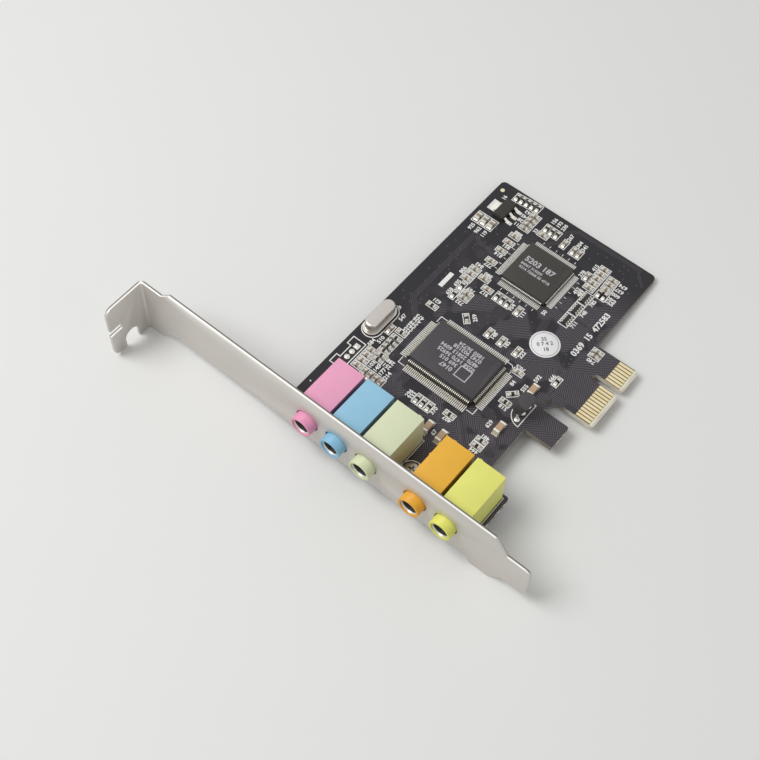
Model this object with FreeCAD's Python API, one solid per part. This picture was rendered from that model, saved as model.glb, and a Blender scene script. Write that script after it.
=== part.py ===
import FreeCAD, Part
import math
import os

# Expansion sound card: a circuit board with a keyed edge tongue, five side by
# side audio jacks, and a folded steel bracket that closes the machine's slot.
#
# Frame, in millimetres. X runs into the machine from the bracket's outer face,
# Y runs along the bracket from the tongue's lower edge towards the flange, and
# Z rises from the component side of the board.

os.makedirs("parts", exist_ok=True)

V = FreeCAD.Vector
X_AXIS = V(1, 0, 0)
Y_AXIS = V(0, 1, 0)
Z_AXIS = V(0, 0, 1)

# Circuit board
BOARD_T = 1.57
BOARD_NEAR = 1.8          # gap of the board's near edge from the bracket's face
BOARD_FAR = 93.35
BOARD_TOP = 62.45
BOARD_LOW = 12.5          # lower edge beside the tongue
BOARD_CORNER_R = 1.4
OUTLINE_R = 0.6           # router radius on the small corners
FOOT_END = 16.55          # piece of the board that reaches down beside the bracket
FOOT_LOW = 4.3
TAB_NEAR = 34.05          # plain guide tab beside the tongue
TAB_W = 7.35
TAB_LOW = 4.35

# Edge tongue and its contacts
KEY_X = 57.45             # centre of the key notch
KEY_W = 1.9
KEY_DEPTH = 8.2
CONTACT_PITCH = 1.0
CONTACT_W = 0.7
CONTACT_T = 0.05
CONTACT_LOW = 1.1
CONTACT_HIGH = 5.3
CONTACT_TO_KEY = 1.5      # nearest contact's centre from the key's centre
NEAR_CONTACTS = 11
FAR_CONTACTS = 7
TONGUE_MARGIN = 0.65      # outermost contact's centre from the tongue's side
TONGUE_BEVEL_LEN = 1.0
TONGUE_BEVEL_DEPTH = 0.4

# Folded bracket
SHEET = 0.86
BRACKET_W = 18.42
BRACKET_LEN = 120.02
BRACKET_RISE = 14.35      # bracket's upper edge above the board's top face
FLANGE_Y = 107.61         # outer face of the flange
FLANGE_LEN = 12.2
FLANGE_CORNER_R = 2.2
BEND_R = 0.7              # inner radius of every fold
NECK_W = 19.3
NECK_DROP = 2.95          # neck's upper edge below the bracket's
NECK_LEN = 7.3
NECK_STEP = 3.2
NOTCH_SET = 4.41          # small relief notch in the lower edge, from the neck
NOTCH_HALF = 1.2
NOTCH_DEPTH = 1.2
SCREW_SLOT_W = 4.42
SCREW_SLOT_X = 5.85       # slot's centre from the bracket's face
SCREW_SLOT_DEPTH = 5.2
SLIT_W = 2.2
SLIT_DEPTH = 3.8
SLIT_Z = 1.9
TAIL_W = 12.1             # narrow end that drops into the chassis
TAIL_DROP = 4.9           # tail's upper edge below the bracket's
TAIL_LEN = 6.6
TAIL_TAPER = 3.8
TAIL_R = 2.0
HEEL_OUT = 2.3            # wider heel on the lower edge above the tail
HEEL_LEN = 4.8
HEEL_STEP = 1.7

# Ear that carries the board, folded from the bracket's lower edge
EAR_W = 7.6
EAR_SET = 2.2             # length of the ear before its joggle
EAR_JOGGLE = 1.5
EAR_LEN = 11.0
SCREW_X = 7.1
SCREW_R = 1.45
SCREW_CLEARANCE = 0.3
SCREW_HEAD_R = 2.2
SCREW_HEAD_H = 1.5
SCREW_TO_JACK = 0.75      # space between the screw's head and the jack beside it
SCREW_TAIL = 1.2          # thread that shows under the ear

# Audio jacks
JACK_FIRST_Y = 9.95       # centre of the lowest housing
JACK_SPACE = 0.35         # between two housings side by side
JACK_EAR_SPACE = 6.1      # between two housings, over the bracket ear
JACK_TOP_W = 8.1
JACK_DRAFT = 0.3          # side wall's lean over its height
JACK_H = 10.4
JACK_BACK = 15.5
JACK_SEAT = 0.15          # gap between the bracket and the jack's front
JACK_EDGE = 0.3           # chamfer round the housing's top
JACK_AXIS_Z = 3.95
NOZZLE_SET = 1.0          # nozzle's axis from the middle of its housing
NOZZLE_R = 3.0
NOZZLE_OUT = 2.5
NOZZLE_CLEARANCE = 0.3
PLUG_BORE_R = 1.8
PLUG_BORE_END = 13.0
MOUTH_R = 2.05            # shallow recess in the nozzle's face
MOUTH_DEPTH = 0.3
CONTACT_PIN_W = 1.0
CONTACT_PIN_T = 0.3
PIN_SLOT = 0.25           # clearance of a contact pin in the board's slot
SLEEVE_PIN_X = 4.0
RING_PIN_X = 7.6
TIP_PIN_X = 11.6
PIN_BELOW = 1.6           # pin length that shows under the board

# Flat packages with leads on four sides
QFP_X, QFP_Y = 37.75, 36.35
QFP_W, QFP_L = 14.0, 20.0
QFP_BASE, QFP_TOP = 0.25, 2.95
QFP_PITCH = 0.5
QFP_LEAD_W = 0.24
QFP_LEAD_T = 0.16
QFP_REACH = 1.95
QFP_FOOT = 0.9
QFP_SIDE_COUNT = 38
QFP_END_COUNT = 26
LQFP_X, LQFP_Y = 73.4, 36.9
LQFP_W = 14.0
LQFP_BASE, LQFP_TOP = 0.1, 1.5
LQFP_PITCH = 0.4
LQFP_LEAD_W = 0.19
LQFP_LEAD_T = 0.13
LQFP_REACH = 1.0
LQFP_SIDE_COUNT = 32
PACKAGE_DRAFT = 0.2       # lean of a package wall above and below its parting line
DIMPLE_R = 0.7
DIMPLE_DEPTH = 0.12
DIMPLE_INSET = 1.9

# Crystal
CRYSTAL_X, CRYSTAL_Y = 35.9, 59.4
CRYSTAL_L, CRYSTAL_W = 10.2, 3.8
CRYSTAL_RIM = 0.45
CRYSTAL_RIM_T = 0.4
CRYSTAL_EDGE = 0.4
CRYSTAL_H = 3.4
CRYSTAL_PIN = 0.4
CRYSTAL_HOLE_R = 0.4
CRYSTAL_PIN_PITCH = 4.88

# Voltage regulator with a soldered tab
REG_X, REG_Y = 84.75, 55.95
REG_W, REG_L, REG_H = 6.5, 3.5, 1.6
REG_STANDOFF = 0.06
REG_LEAD_PITCH = 2.3
REG_LEAD_W = 0.75
REG_TAB_W = 3.05
REG_LEAD_T = 0.28
REG_REACH = 1.75
REG_FOOT = 0.95

# Three lead transistor
TO92_X, TO92_Y = 37.4, 15.45
TO92_R = 2.35
TO92_FLAT = 1.25          # flat face from the round part's centre
TO92_H = 4.6
TO92_ROOT_Y = 16.35       # where the leads enter the body
TO92_ROOT_Z = 2.1
TO92_LEAN = 20            # the body's lean towards its flat face, in degrees
TO92_KNEE = 0.5           # height at which its leads turn upright
TO92_LEAD = 0.42
TO92_LEAD_PITCH = 1.27
TO92_SPREAD_PITCH = 2.4
TO92_HOLE_R = 0.5

# Chip parts: length, width, height and end cap length, with no cap on the small ones
CHIP_SMALL = (1.6, 0.8, 0.5, 0)
CHIP_MEDIUM = (2.0, 1.25, 0.8, 0.4)
CHIP_LARGE = (3.2, 1.6, 1.3, 0.5)
CAP_WRAP = 0.03           # end caps stand proud of the body by this much

# Four resistor networks in one body
ARRAY_L, ARRAY_W, ARRAY_H = 3.2, 1.6, 0.5
ARRAY_PITCH = 0.8
ARRAY_CAP_W = 0.45
ARRAY_CAP_T = 0.1

# Places worked out from the sizes above
TONGUE_NEAR = KEY_X - CONTACT_TO_KEY - (NEAR_CONTACTS - 1) * CONTACT_PITCH - TONGUE_MARGIN
TONGUE_FAR = KEY_X + CONTACT_TO_KEY + (FAR_CONTACTS - 1) * CONTACT_PITCH + TONGUE_MARGIN
JACK_FOOT_W = JACK_TOP_W + 2 * JACK_DRAFT
JACK_PITCH = JACK_FOOT_W + JACK_SPACE
EAR_PITCH = JACK_FOOT_W + JACK_EAR_SPACE
JACK_YS = {
    "jack_lime": JACK_FIRST_Y,
    "jack_orange": JACK_FIRST_Y + JACK_PITCH,
    "jack_green": JACK_FIRST_Y + JACK_PITCH + EAR_PITCH,
    "jack_blue": JACK_FIRST_Y + 2 * JACK_PITCH + EAR_PITCH,
    "jack_pink": JACK_FIRST_Y + 3 * JACK_PITCH + EAR_PITCH,
}
NOZZLE_YS = {name: y + NOZZLE_SET for name, y in JACK_YS.items()}
SCREW_Y = JACK_YS["jack_orange"] + JACK_FOOT_W / 2 + SCREW_TO_JACK + SCREW_HEAD_R
JACK_FRONT = SHEET + JACK_SEAT
NOZZLE_MOUTH = -NOZZLE_OUT
BOARD_UNDER = -BOARD_T
BRACKET_LOW = BRACKET_RISE - BRACKET_W
CRYSTAL_PIN_XS = [CRYSTAL_X - CRYSTAL_PIN_PITCH / 2, CRYSTAL_X + CRYSTAL_PIN_PITCH / 2]
TO92_LEAD_XS = [TO92_X + i * TO92_SPREAD_PITCH for i in (-1, 0, 1)]
JACK_PIN_XS = [SLEEVE_PIN_X, RING_PIN_X, TIP_PIN_X]

# Rows of small chips: first place, step to the next, count, turn in degrees
RESISTOR_ROWS = [
    ((26.3, 52.3), (1.55, 0), 2, 90),
    ((29.3, 52.7), (1.63, 0), 4, 90),
    ((36.4, 52.7), (0, 0), 1, 90),
    ((48.0, 51.9), (0, 0), 1, 90),
    ((54.4, 49.8), (3.5, 0), 2, 0),
    ((61.2, 40.8), (0, -1.7), 3, 0),
    ((50.5, 42.8), (0, 0), 1, 45),
    ((23.8, 37.65), (0, -1.8), 3, 0),
    ((25.35, 28.85), (0, 0), 1, 90),
    ((22.7, 18.55), (1.85, 0), 2, 90),
    ((37.1, 20.5), (0, 0), 1, 90),
    ((40.1, 20.5), (0, 0), 1, -45),
    ((50.1, 14.1), (0, 0), 1, 0),
    ((90.9, 56.0), (0.13, -1.63), 5, 0),
    ((87.5, 43.8), (0, -1.67), 3, 0),
    ((79.2, 21.15), (0, -1.6), 2, 0),
]
CAPACITOR_ROWS = [
    ((21.7, 55.1), (1.9, 0), 4, 90),
    ((21.3, 52.6), (0, -1.7), 4, 0),
    ((35.3, 55.6), (0, 0), 1, 0),
    ((55.1, 47.2), (1.7, 0), 2, 90),
    ((60.6, 50.4), (1.9, 0), 3, 90),
    ((63.5, 46.7), (0, 0), 1, 90),
    ((61.3, 44.1), (0, 0), 1, 90),
    ((61.0, 33.95), (0, 0), 1, 0),
    ((50.8, 35.7), (0, -4.0), 2, 0),
    ((50.8, 26.9), (0, 0), 1, 0),
    ((46.0, 23.2), (0, 0), 1, 90),
    ((62.4, 11.2), (1.55, 0), 2, 90),
    ((69.25, 48.8), (4.45, 0), 2, 90),
    ((77.2, 48.8), (2.55, 0), 2, 90),
    ((83.7, 48.4), (1.68, 0), 4, 90),
    ((85.0, 43.25), (0, 0), 1, 90),
    ((86.3, 37.2), (0, 0), 1, 0),
    ((86.0, 34.05), (0, -1.7), 2, 0),
    ((78.9, 24.2), (1.87, 0), 5, 90),
    ((81.55, 26.6), (0, 0), 1, 0),
    ((81.4, 20.4), (1.75, 0.1), 3, 90),
]
MEDIUM_ROWS = [
    ((78.8, 60.2), (0, -2.2), 3, 0),
]
LARGE_ROWS = [
    ((19.05, 30.75), (0, 0), 1, 0),
    ((19.05, 26.65), (0, 0), 1, 0),
    ((30.05, 17.2), (0, 0), 1, 0),
    ((44.0, 17.2), (0, 0), 1, 0),
]
ARRAY_ROW = ((66.9, 22.9), (4.3, 0), 3)


def box(x0, y0, z0, x1, y1, z1):
    """Block between two opposite corners."""
    return Part.makeBox(x1 - x0, y1 - y0, z1 - z0, V(x0, y0, z0))


def rod(centre, axis, radius, length):
    """Cylinder from its centre along an axis."""
    return Part.makeCylinder(radius, length, V(*centre), axis)


def prism(corners, direction):
    """Solid swept from a closed outline along a direction."""
    points = [V(*corner) for corner in corners]
    face = Part.Face(Part.makePolygon(points + points[:1]))
    return face.extrude(V(*direction))


def square_wire(x, y, z, half):
    """Level square outline about a point."""
    corners = [V(x - half, y - half, z), V(x + half, y - half, z),
               V(x + half, y + half, z), V(x - half, y + half, z)]
    return Part.makePolygon(corners + corners[:1])


def frustum(cx, cy, z0, size0, z1, size1):
    """Block that changes from one rectangle to another between two heights."""
    wires = []
    for z, (width, length) in ((z0, size0), (z1, size1)):
        corners = [V(cx + sx * width / 2, cy + sy * length / 2, z)
                   for sx, sy in ((-1, -1), (1, -1), (1, 1), (-1, 1))]
        wires.append(Part.makePolygon(corners + corners[:1]))
    return Part.makeLoft(wires, True, True)


def stadium(cx, cy, length, width, z0, z1):
    """Upright block with half round ends along X."""
    half = (length - width) / 2
    body = box(cx - half, cy - width / 2, z0, cx + half, cy + width / 2, z1)
    for side in (-1, 1):
        body = body.fuse(rod((cx + side * half, cy, z0), Z_AXIS, width / 2, z1 - z0))
    return body.removeSplitter()


def edges_along(shape, axis, test):
    """Straight edges parallel to an axis whose middle passes a test."""
    found = []
    for edge in shape.Edges:
        start, end = edge.Vertexes[0].Point, edge.Vertexes[-1].Point
        run = end - start
        if run.Length > 1e-6 and abs(abs(run.normalize().dot(axis)) - 1) < 1e-6:
            if test((start + end) * 0.5):
                found.append(edge)
    return found


def spots(first, step, count):
    """Evenly stepped places on the board."""
    return [(first[0] + i * step[0], first[1] + i * step[1]) for i in range(count)]


def save(name, solids):
    """Write one named sub-part; a list is kept as separate solids."""
    shape = solids if isinstance(solids, Part.Shape) else Part.makeCompound(solids)
    shape.exportStep("parts/%s.step" % name)


# Circuit board

def board_blank():
    """Outline of the board, with its foot, guide tab and keyed tongue."""
    slot_r = (TONGUE_NEAR - TAB_NEAR - TAB_W) / 2
    blank = prism([(BOARD_NEAR, BOARD_LOW, BOARD_UNDER), (BOARD_FAR, BOARD_LOW, BOARD_UNDER),
                   (BOARD_FAR, BOARD_TOP, BOARD_UNDER), (BOARD_NEAR, BOARD_TOP, BOARD_UNDER)],
                  (0, 0, BOARD_T))
    blank = blank.fuse([
        box(BOARD_NEAR, FOOT_LOW, BOARD_UNDER, FOOT_END, BOARD_LOW, 0),
        box(TAB_NEAR, TAB_LOW, BOARD_UNDER, TAB_NEAR + TAB_W, BOARD_LOW, 0),
        box(TONGUE_NEAR, 0, BOARD_UNDER, TONGUE_FAR, BOARD_LOW, 0),
    ]).removeSplitter()
    blank = blank.cut(rod((TAB_NEAR + TAB_W + slot_r, BOARD_LOW - 0.5 * slot_r, BOARD_UNDER),
                          Z_AXIS, slot_r, BOARD_T))
    key = box(KEY_X - KEY_W / 2, 0, BOARD_UNDER, KEY_X + KEY_W / 2, KEY_DEPTH - KEY_W / 2, 0)
    key = key.fuse(rod((KEY_X, KEY_DEPTH - KEY_W / 2, BOARD_UNDER), Z_AXIS, KEY_W / 2, BOARD_T))
    return blank.cut(key)


def round_board(board):
    """Large radii at the far corners and small ones on the lower corners."""
    far = edges_along(board, Z_AXIS, lambda p: p.x > BOARD_FAR - 0.01)
    board = board.makeFillet(BOARD_CORNER_R, far)
    low_y = max(FOOT_LOW, TAB_LOW) + 0.01
    small = edges_along(board, Z_AXIS, lambda p: p.y < low_y and p.x > BOARD_NEAR + 0.01)
    return board.makeFillet(OUTLINE_R, small)


def tongue_bevels():
    """Wedges that thin the tongue's lower edge on both faces."""
    wedges = []
    for face_z, inward in ((0, -1), (BOARD_UNDER, 1)):
        wedges.append(prism([(TONGUE_NEAR, 0, face_z), (TONGUE_NEAR, TONGUE_BEVEL_LEN, face_z),
                             (TONGUE_NEAR, 0, face_z + inward * TONGUE_BEVEL_DEPTH)],
                            (TONGUE_FAR - TONGUE_NEAR, 0, 0)))
    return wedges


def through_hole(x, y, radius):
    return rod((x, y, BOARD_UNDER), Z_AXIS, radius, BOARD_T)


def pin_slot(x, y):
    """Slot in the board for one flat contact pin of a jack."""
    half_x = CONTACT_PIN_T / 2 + PIN_SLOT
    half_y = CONTACT_PIN_W / 2 + PIN_SLOT
    return box(x - half_x, y - half_y, BOARD_UNDER, x + half_x, y + half_y, 0)


def make_board():
    board = round_board(board_blank())
    cuts = tongue_bevels()
    cuts.append(through_hole(SCREW_X, SCREW_Y, SCREW_R + SCREW_CLEARANCE))
    cuts += [pin_slot(x, y) for y in JACK_YS.values() for x in JACK_PIN_XS]
    cuts += [through_hole(x, CRYSTAL_Y, CRYSTAL_HOLE_R) for x in CRYSTAL_PIN_XS]
    cuts += [through_hole(x, TO92_Y, TO92_HOLE_R) for x in TO92_LEAD_XS]
    return board.cut(cuts)


def contact_xs():
    """Centres of the contacts on both sides of the key."""
    near = [KEY_X - CONTACT_TO_KEY - i * CONTACT_PITCH for i in range(NEAR_CONTACTS)]
    far = [KEY_X + CONTACT_TO_KEY + i * CONTACT_PITCH for i in range(FAR_CONTACTS)]
    return near[::-1] + far


def make_contacts():
    half = CONTACT_W / 2
    fingers = []
    for x in contact_xs():
        for low in (0, BOARD_UNDER - CONTACT_T):
            fingers.append(box(x - half, CONTACT_LOW, low, x + half, CONTACT_HIGH, low + CONTACT_T))
    return fingers


# Bracket

def bracket_face():
    """Flat pattern of the part that closes the slot, as a plate on the YZ plane."""
    neck_y = FLANGE_Y - NECK_LEN
    neck_low = BRACKET_RISE - NECK_DROP - NECK_W
    neck_step_low = BRACKET_LOW - neck_low
    notch_y = neck_y - NOTCH_SET
    tail_end = FLANGE_Y - BRACKET_LEN
    tail_y = tail_end + TAIL_LEN
    tail_high = BRACKET_RISE - TAIL_DROP
    tail_low = tail_high - TAIL_W
    heel_z = BRACKET_LOW - HEEL_OUT
    heel_y = tail_y + (tail_low - heel_z)
    corners = [
        (FLANGE_Y, BRACKET_RISE - NECK_DROP),
        (neck_y, BRACKET_RISE - NECK_DROP),
        (neck_y - NECK_STEP, BRACKET_RISE),
        (tail_y + TAIL_TAPER, BRACKET_RISE),
        (tail_y, tail_high),
        (tail_end, tail_high),
        (tail_end, tail_low),
        (tail_y, tail_low),
        (heel_y, heel_z),
        (heel_y + HEEL_LEN, heel_z),
        (heel_y + HEEL_LEN + HEEL_STEP, BRACKET_LOW),
        (notch_y - NOTCH_HALF, BRACKET_LOW),
        (notch_y, BRACKET_LOW + NOTCH_DEPTH),
        (notch_y + NOTCH_HALF, BRACKET_LOW),
        (neck_y - neck_step_low / 2, BRACKET_LOW),
        (neck_y + neck_step_low / 2, neck_low),
        (FLANGE_Y, neck_low),
    ]
    plate = prism([(0, y, z) for y, z in corners], (SHEET, 0, 0))
    tip = edges_along(plate, X_AXIS, lambda p: p.y < tail_end + 0.01)
    return plate.makeFillet(TAIL_R, tip)


def flange():
    """Plate that the machine's screw clamps, with its screw slot and slit."""
    high = BRACKET_RISE - NECK_DROP
    low = high - NECK_W
    inner = FLANGE_Y - SHEET
    plate = box(-FLANGE_LEN, inner, low, SHEET, FLANGE_Y, high)
    corners = edges_along(plate, Y_AXIS, lambda p: p.x < 0.01 - FLANGE_LEN)
    plate = plate.makeFillet(FLANGE_CORNER_R, corners)
    slot_r = SCREW_SLOT_W / 2
    slot_z = low + SCREW_SLOT_DEPTH - slot_r
    slot = box(-SCREW_SLOT_X - slot_r, inner, low, -SCREW_SLOT_X + slot_r, FLANGE_Y, slot_z)
    slot = slot.fuse(rod((-SCREW_SLOT_X, inner, slot_z), Y_AXIS, slot_r, SHEET))
    slit = box(-FLANGE_LEN, inner, SLIT_Z - SLIT_W / 2, SLIT_DEPTH - FLANGE_LEN, FLANGE_Y,
               SLIT_Z + SLIT_W / 2)
    return plate.cut([slot, slit])


def ear():
    """Joggled ear under the board, folded inwards from the bracket's lower edge."""
    low, seat = BRACKET_LOW, BOARD_UNDER
    rise = SCREW_Y - EAR_W / 2
    profile = [(0, low), (EAR_SET, low), (EAR_SET + EAR_JOGGLE, seat - SHEET),
               (EAR_LEN, seat - SHEET), (EAR_LEN, seat), (EAR_SET + EAR_JOGGLE, seat),
               (EAR_SET, low + SHEET), (0, low + SHEET)]
    strip = prism([(x, rise, z) for x, z in profile], (0, EAR_W, 0))
    tips = edges_along(strip, Z_AXIS, lambda p: p.x > EAR_LEN - 0.01)
    strip = strip.makeFillet(EAR_W / 4, tips)
    hole = rod((SCREW_X, SCREW_Y, seat - SHEET), Z_AXIS, SCREW_R + SCREW_CLEARANCE, SHEET)
    return strip.cut(hole)


def make_bracket():
    bracket = bracket_face().fuse([flange(), ear()]).removeSplitter()
    holes = [rod((0, y, JACK_AXIS_Z), X_AXIS, NOZZLE_R + NOZZLE_CLEARANCE, SHEET)
             for y in NOZZLE_YS.values()]
    bracket = bracket.cut(holes)
    inner_fold = edges_along(bracket, Z_AXIS, lambda p: abs(p.x) < 0.01
                             and abs(p.y - FLANGE_Y + SHEET) < 0.01)
    outer_fold = edges_along(bracket, Z_AXIS, lambda p: abs(p.x - SHEET) < 0.01
                             and abs(p.y - FLANGE_Y) < 0.01)
    bracket = bracket.makeFillet(BEND_R, inner_fold)
    outer_fold = edges_along(bracket, Z_AXIS, lambda p: abs(p.x - SHEET) < 0.01
                             and abs(p.y - FLANGE_Y) < 0.01)
    bracket = bracket.makeFillet(BEND_R + SHEET, outer_fold)
    ear_fold = edges_along(bracket, Y_AXIS, lambda p: abs(p.x) < 0.01
                           and abs(p.z - BRACKET_LOW) < 0.01
                           and abs(p.y - SCREW_Y) < EAR_W / 2)
    return bracket.makeFillet(BEND_R, ear_fold) if ear_fold else bracket


def make_screw():
    """Pan headed screw, down through board and ear."""
    head = rod((SCREW_X, SCREW_Y, 0), Z_AXIS, SCREW_HEAD_R, SCREW_HEAD_H)
    rim = [edge for edge in head.Edges if abs(edge.BoundBox.ZMin - SCREW_HEAD_H) < 1e-6]
    head = head.makeChamfer(SCREW_HEAD_H * 0.45, rim)
    reach = BOARD_T + SHEET + SCREW_TAIL
    shank = rod((SCREW_X, SCREW_Y, -reach), Z_AXIS, SCREW_R, reach)
    return head.fuse(shank)


# Audio jacks

def make_jack(y):
    """Moulded housing: drafted block, round nozzle with a recessed face, plug bore."""
    top = JACK_TOP_W / 2
    foot = top + JACK_DRAFT
    block = prism([(JACK_FRONT, y - foot, 0), (JACK_FRONT, y + foot, 0),
                   (JACK_FRONT, y + top, JACK_H), (JACK_FRONT, y - top, JACK_H)],
                  (JACK_BACK - JACK_FRONT, 0, 0))
    upper = [edge for edge in block.Edges if edge.BoundBox.ZMin > JACK_H - 0.01]
    block = block.makeChamfer(JACK_EDGE, upper)
    axis = (NOZZLE_MOUTH, y + NOZZLE_SET, JACK_AXIS_Z)
    nozzle = rod(axis, X_AXIS, NOZZLE_R, JACK_FRONT - NOZZLE_MOUTH)
    housing = block.fuse(nozzle)
    bore = rod(axis, X_AXIS, PLUG_BORE_R, PLUG_BORE_END - NOZZLE_MOUTH)
    mouth = rod(axis, X_AXIS, MOUTH_R, MOUTH_DEPTH)
    return housing.cut([bore, mouth])


def make_contact(x, y):
    """Flat contact pin, from the housing's floor down through its slot in the board."""
    return box(x - CONTACT_PIN_T / 2, y - CONTACT_PIN_W / 2, BOARD_UNDER - PIN_BELOW,
               x + CONTACT_PIN_T / 2, y + CONTACT_PIN_W / 2, 0)


# Flat packages

def package_body(cx, cy, width, length, base, top):
    """Moulded body with drafted walls and a round first-pin dimple."""
    middle = (base + top) / 2
    small = (width - 2 * PACKAGE_DRAFT, length - 2 * PACKAGE_DRAFT)
    body = frustum(cx, cy, base, small, middle, (width, length))
    body = body.fuse(frustum(cx, cy, middle, (width, length), top, small))
    dimple = rod((cx + width / 2 - DIMPLE_INSET, cy - length / 2 + DIMPLE_INSET,
                  top - DIMPLE_DEPTH), Z_AXIS, DIMPLE_R, DIMPLE_DEPTH)
    return body.cut(dimple)


def gull_wing(width, thick, reach, foot, rise):
    """One lead along +X: sloping leg and flat foot, centred on Y."""
    heel = reach - foot
    profile = [(0, rise - thick / 2), (heel, 0), (reach, 0),
               (reach, thick), (heel + thick, thick), (0, rise + thick / 2)]
    return prism([(x, -width / 2, z) for x, z in profile], (0, width, 0))


def sloping_lead(width, thick, reach, rise):
    """One fine lead along +X that slopes from the package to the board."""
    profile = [(0, rise - thick / 2), (reach - thick, 0), (reach, 0), (0, rise + thick / 2)]
    return prism([(x, -width / 2, z) for x, z in profile], (0, width, 0))


def lead_row(lead, cx, cy, out, count, pitch, turn):
    """Copies of a lead along one side of a package."""
    row = []
    for i in range(count):
        copy = lead.copy()
        copy.translate(V(out, (i - (count - 1) / 2) * pitch, 0))
        copy.rotate(V(0, 0, 0), Z_AXIS, turn)
        copy.translate(V(cx, cy, 0))
        row.append(copy)
    return row


def package_leads(cx, cy, width, length, counts, pitch, lead):
    side, end = counts
    leads = []
    for turn in (0, 180):
        leads += lead_row(lead, cx, cy, width / 2, side, pitch, turn)
    for turn in (90, 270):
        leads += lead_row(lead, cx, cy, length / 2, end, pitch, turn)
    return leads


# Small parts

def chip(size, x, y, turn):
    """Body and wrapped end caps of one chip part."""
    length, width, height, cap = size
    body = box(cap - length / 2, -width / 2, 0, length / 2 - cap, width / 2, height)
    half = width / 2 + CAP_WRAP
    ends = []
    if cap:
        ends = [box(-length / 2, -half, 0, cap - length / 2, half, height + CAP_WRAP),
                box(length / 2 - cap, -half, 0, length / 2, half, height + CAP_WRAP)]
    for piece in [body] + ends:
        piece.rotate(V(0, 0, 0), Z_AXIS, turn)
        piece.translate(V(x, y, 0))
    return body, ends


def chip_rows(size, rows):
    bodies, ends = [], []
    for first, step, count, turn in rows:
        for x, y in spots(first, step, count):
            body, pair = chip(size, x, y, turn)
            bodies.append(body)
            ends += pair
    return bodies, ends


def resistor_array(x, y):
    """Flat ceramic block with four terminals along each long side."""
    body = box(x - ARRAY_L / 2, y - ARRAY_W / 2 + ARRAY_CAP_T, 0,
               x + ARRAY_L / 2, y + ARRAY_W / 2 - ARRAY_CAP_T, ARRAY_H)
    caps = []
    for i in range(4):
        cx = x + (i - 1.5) * ARRAY_PITCH
        for side in (-1, 1):
            face = y + side * (ARRAY_W / 2 - ARRAY_CAP_T)
            low, high = sorted((face, face + side * ARRAY_CAP_T))
            caps.append(box(cx - ARRAY_CAP_W / 2, low, 0, cx + ARRAY_CAP_W / 2, high, ARRAY_H))
    return body, caps


def make_regulator():
    """Low package with three leads on one side and a wide tab on the other."""
    middle = (REG_STANDOFF + REG_H) / 2
    small = (REG_W - 2 * PACKAGE_DRAFT, REG_L - 2 * PACKAGE_DRAFT)
    body = frustum(REG_X, REG_Y, REG_STANDOFF, small, middle, (REG_W, REG_L))
    body = body.fuse(frustum(REG_X, REG_Y, middle, (REG_W, REG_L), REG_H, small))
    lead = gull_wing(REG_LEAD_W, REG_LEAD_T, REG_REACH, REG_FOOT, middle)
    tab = gull_wing(REG_TAB_W, REG_LEAD_T, REG_REACH, REG_FOOT, middle)
    leads = lead_row(lead, REG_X, REG_Y, REG_L / 2, 3, REG_LEAD_PITCH, 270)
    leads += lead_row(tab, REG_X, REG_Y, REG_L / 2, 1, REG_LEAD_PITCH, 90)
    return body, leads


def make_transistor():
    """Half round leaning body on three leads that spread to the board's holes."""
    body = rod((TO92_X, 0, 0), Z_AXIS, TO92_R, TO92_H)
    body = body.cut(box(TO92_X - TO92_R, -TO92_R, 0, TO92_X + TO92_R, -TO92_FLAT, TO92_H))
    half = TO92_LEAD / 2
    ends = [square_wire(TO92_X + i * TO92_LEAD_PITCH, 0, 0, half) for i in (-1, 0, 1)]
    for piece in [body] + ends:
        piece.rotate(V(0, 0, 0), X_AXIS, TO92_LEAN)
        piece.translate(V(0, TO92_ROOT_Y, TO92_ROOT_Z))
    leads = []
    for x, end in zip(TO92_LEAD_XS, ends):
        knee = square_wire(x, TO92_Y, TO92_KNEE, half)
        pin = box(x - half, TO92_Y - half, BOARD_UNDER - PIN_BELOW,
                  x + half, TO92_Y + half, TO92_KNEE)
        leads.append(Part.makeLoft([knee, end], True, True).fuse(pin).removeSplitter())
    return body, leads


def make_crystal():
    """Drawn can on a rimmed base, with two pins through the board."""
    can = stadium(CRYSTAL_X, CRYSTAL_Y, CRYSTAL_L, CRYSTAL_W, CRYSTAL_RIM_T, CRYSTAL_H)
    rim = [edge for edge in can.Edges if edge.BoundBox.ZMin > CRYSTAL_H - 0.01]
    can = can.makeChamfer(CRYSTAL_EDGE, rim)
    base = stadium(CRYSTAL_X, CRYSTAL_Y, CRYSTAL_L + 2 * CRYSTAL_RIM, CRYSTAL_W + 2 * CRYSTAL_RIM,
                   0, CRYSTAL_RIM_T)
    half = CRYSTAL_PIN / 2
    pins = [box(x - half, CRYSTAL_Y - half, BOARD_UNDER - PIN_BELOW,
                x + half, CRYSTAL_Y + half, 0) for x in CRYSTAL_PIN_XS]
    return can, base, pins


# Write every sub-part

save("circuit_board", make_board())
save("edge_contacts", make_contacts())
save("bracket", make_bracket())
save("bracket_screw", make_screw())

for jack_name, jack_y in JACK_YS.items():
    save(jack_name, make_jack(jack_y))
save("sleeve_pins", [make_contact(SLEEVE_PIN_X, y) for y in JACK_YS.values()])
save("ring_pins", [make_contact(RING_PIN_X, y) for y in JACK_YS.values()])
save("tip_pins", [make_contact(TIP_PIN_X, y) for y in JACK_YS.values()])

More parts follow.
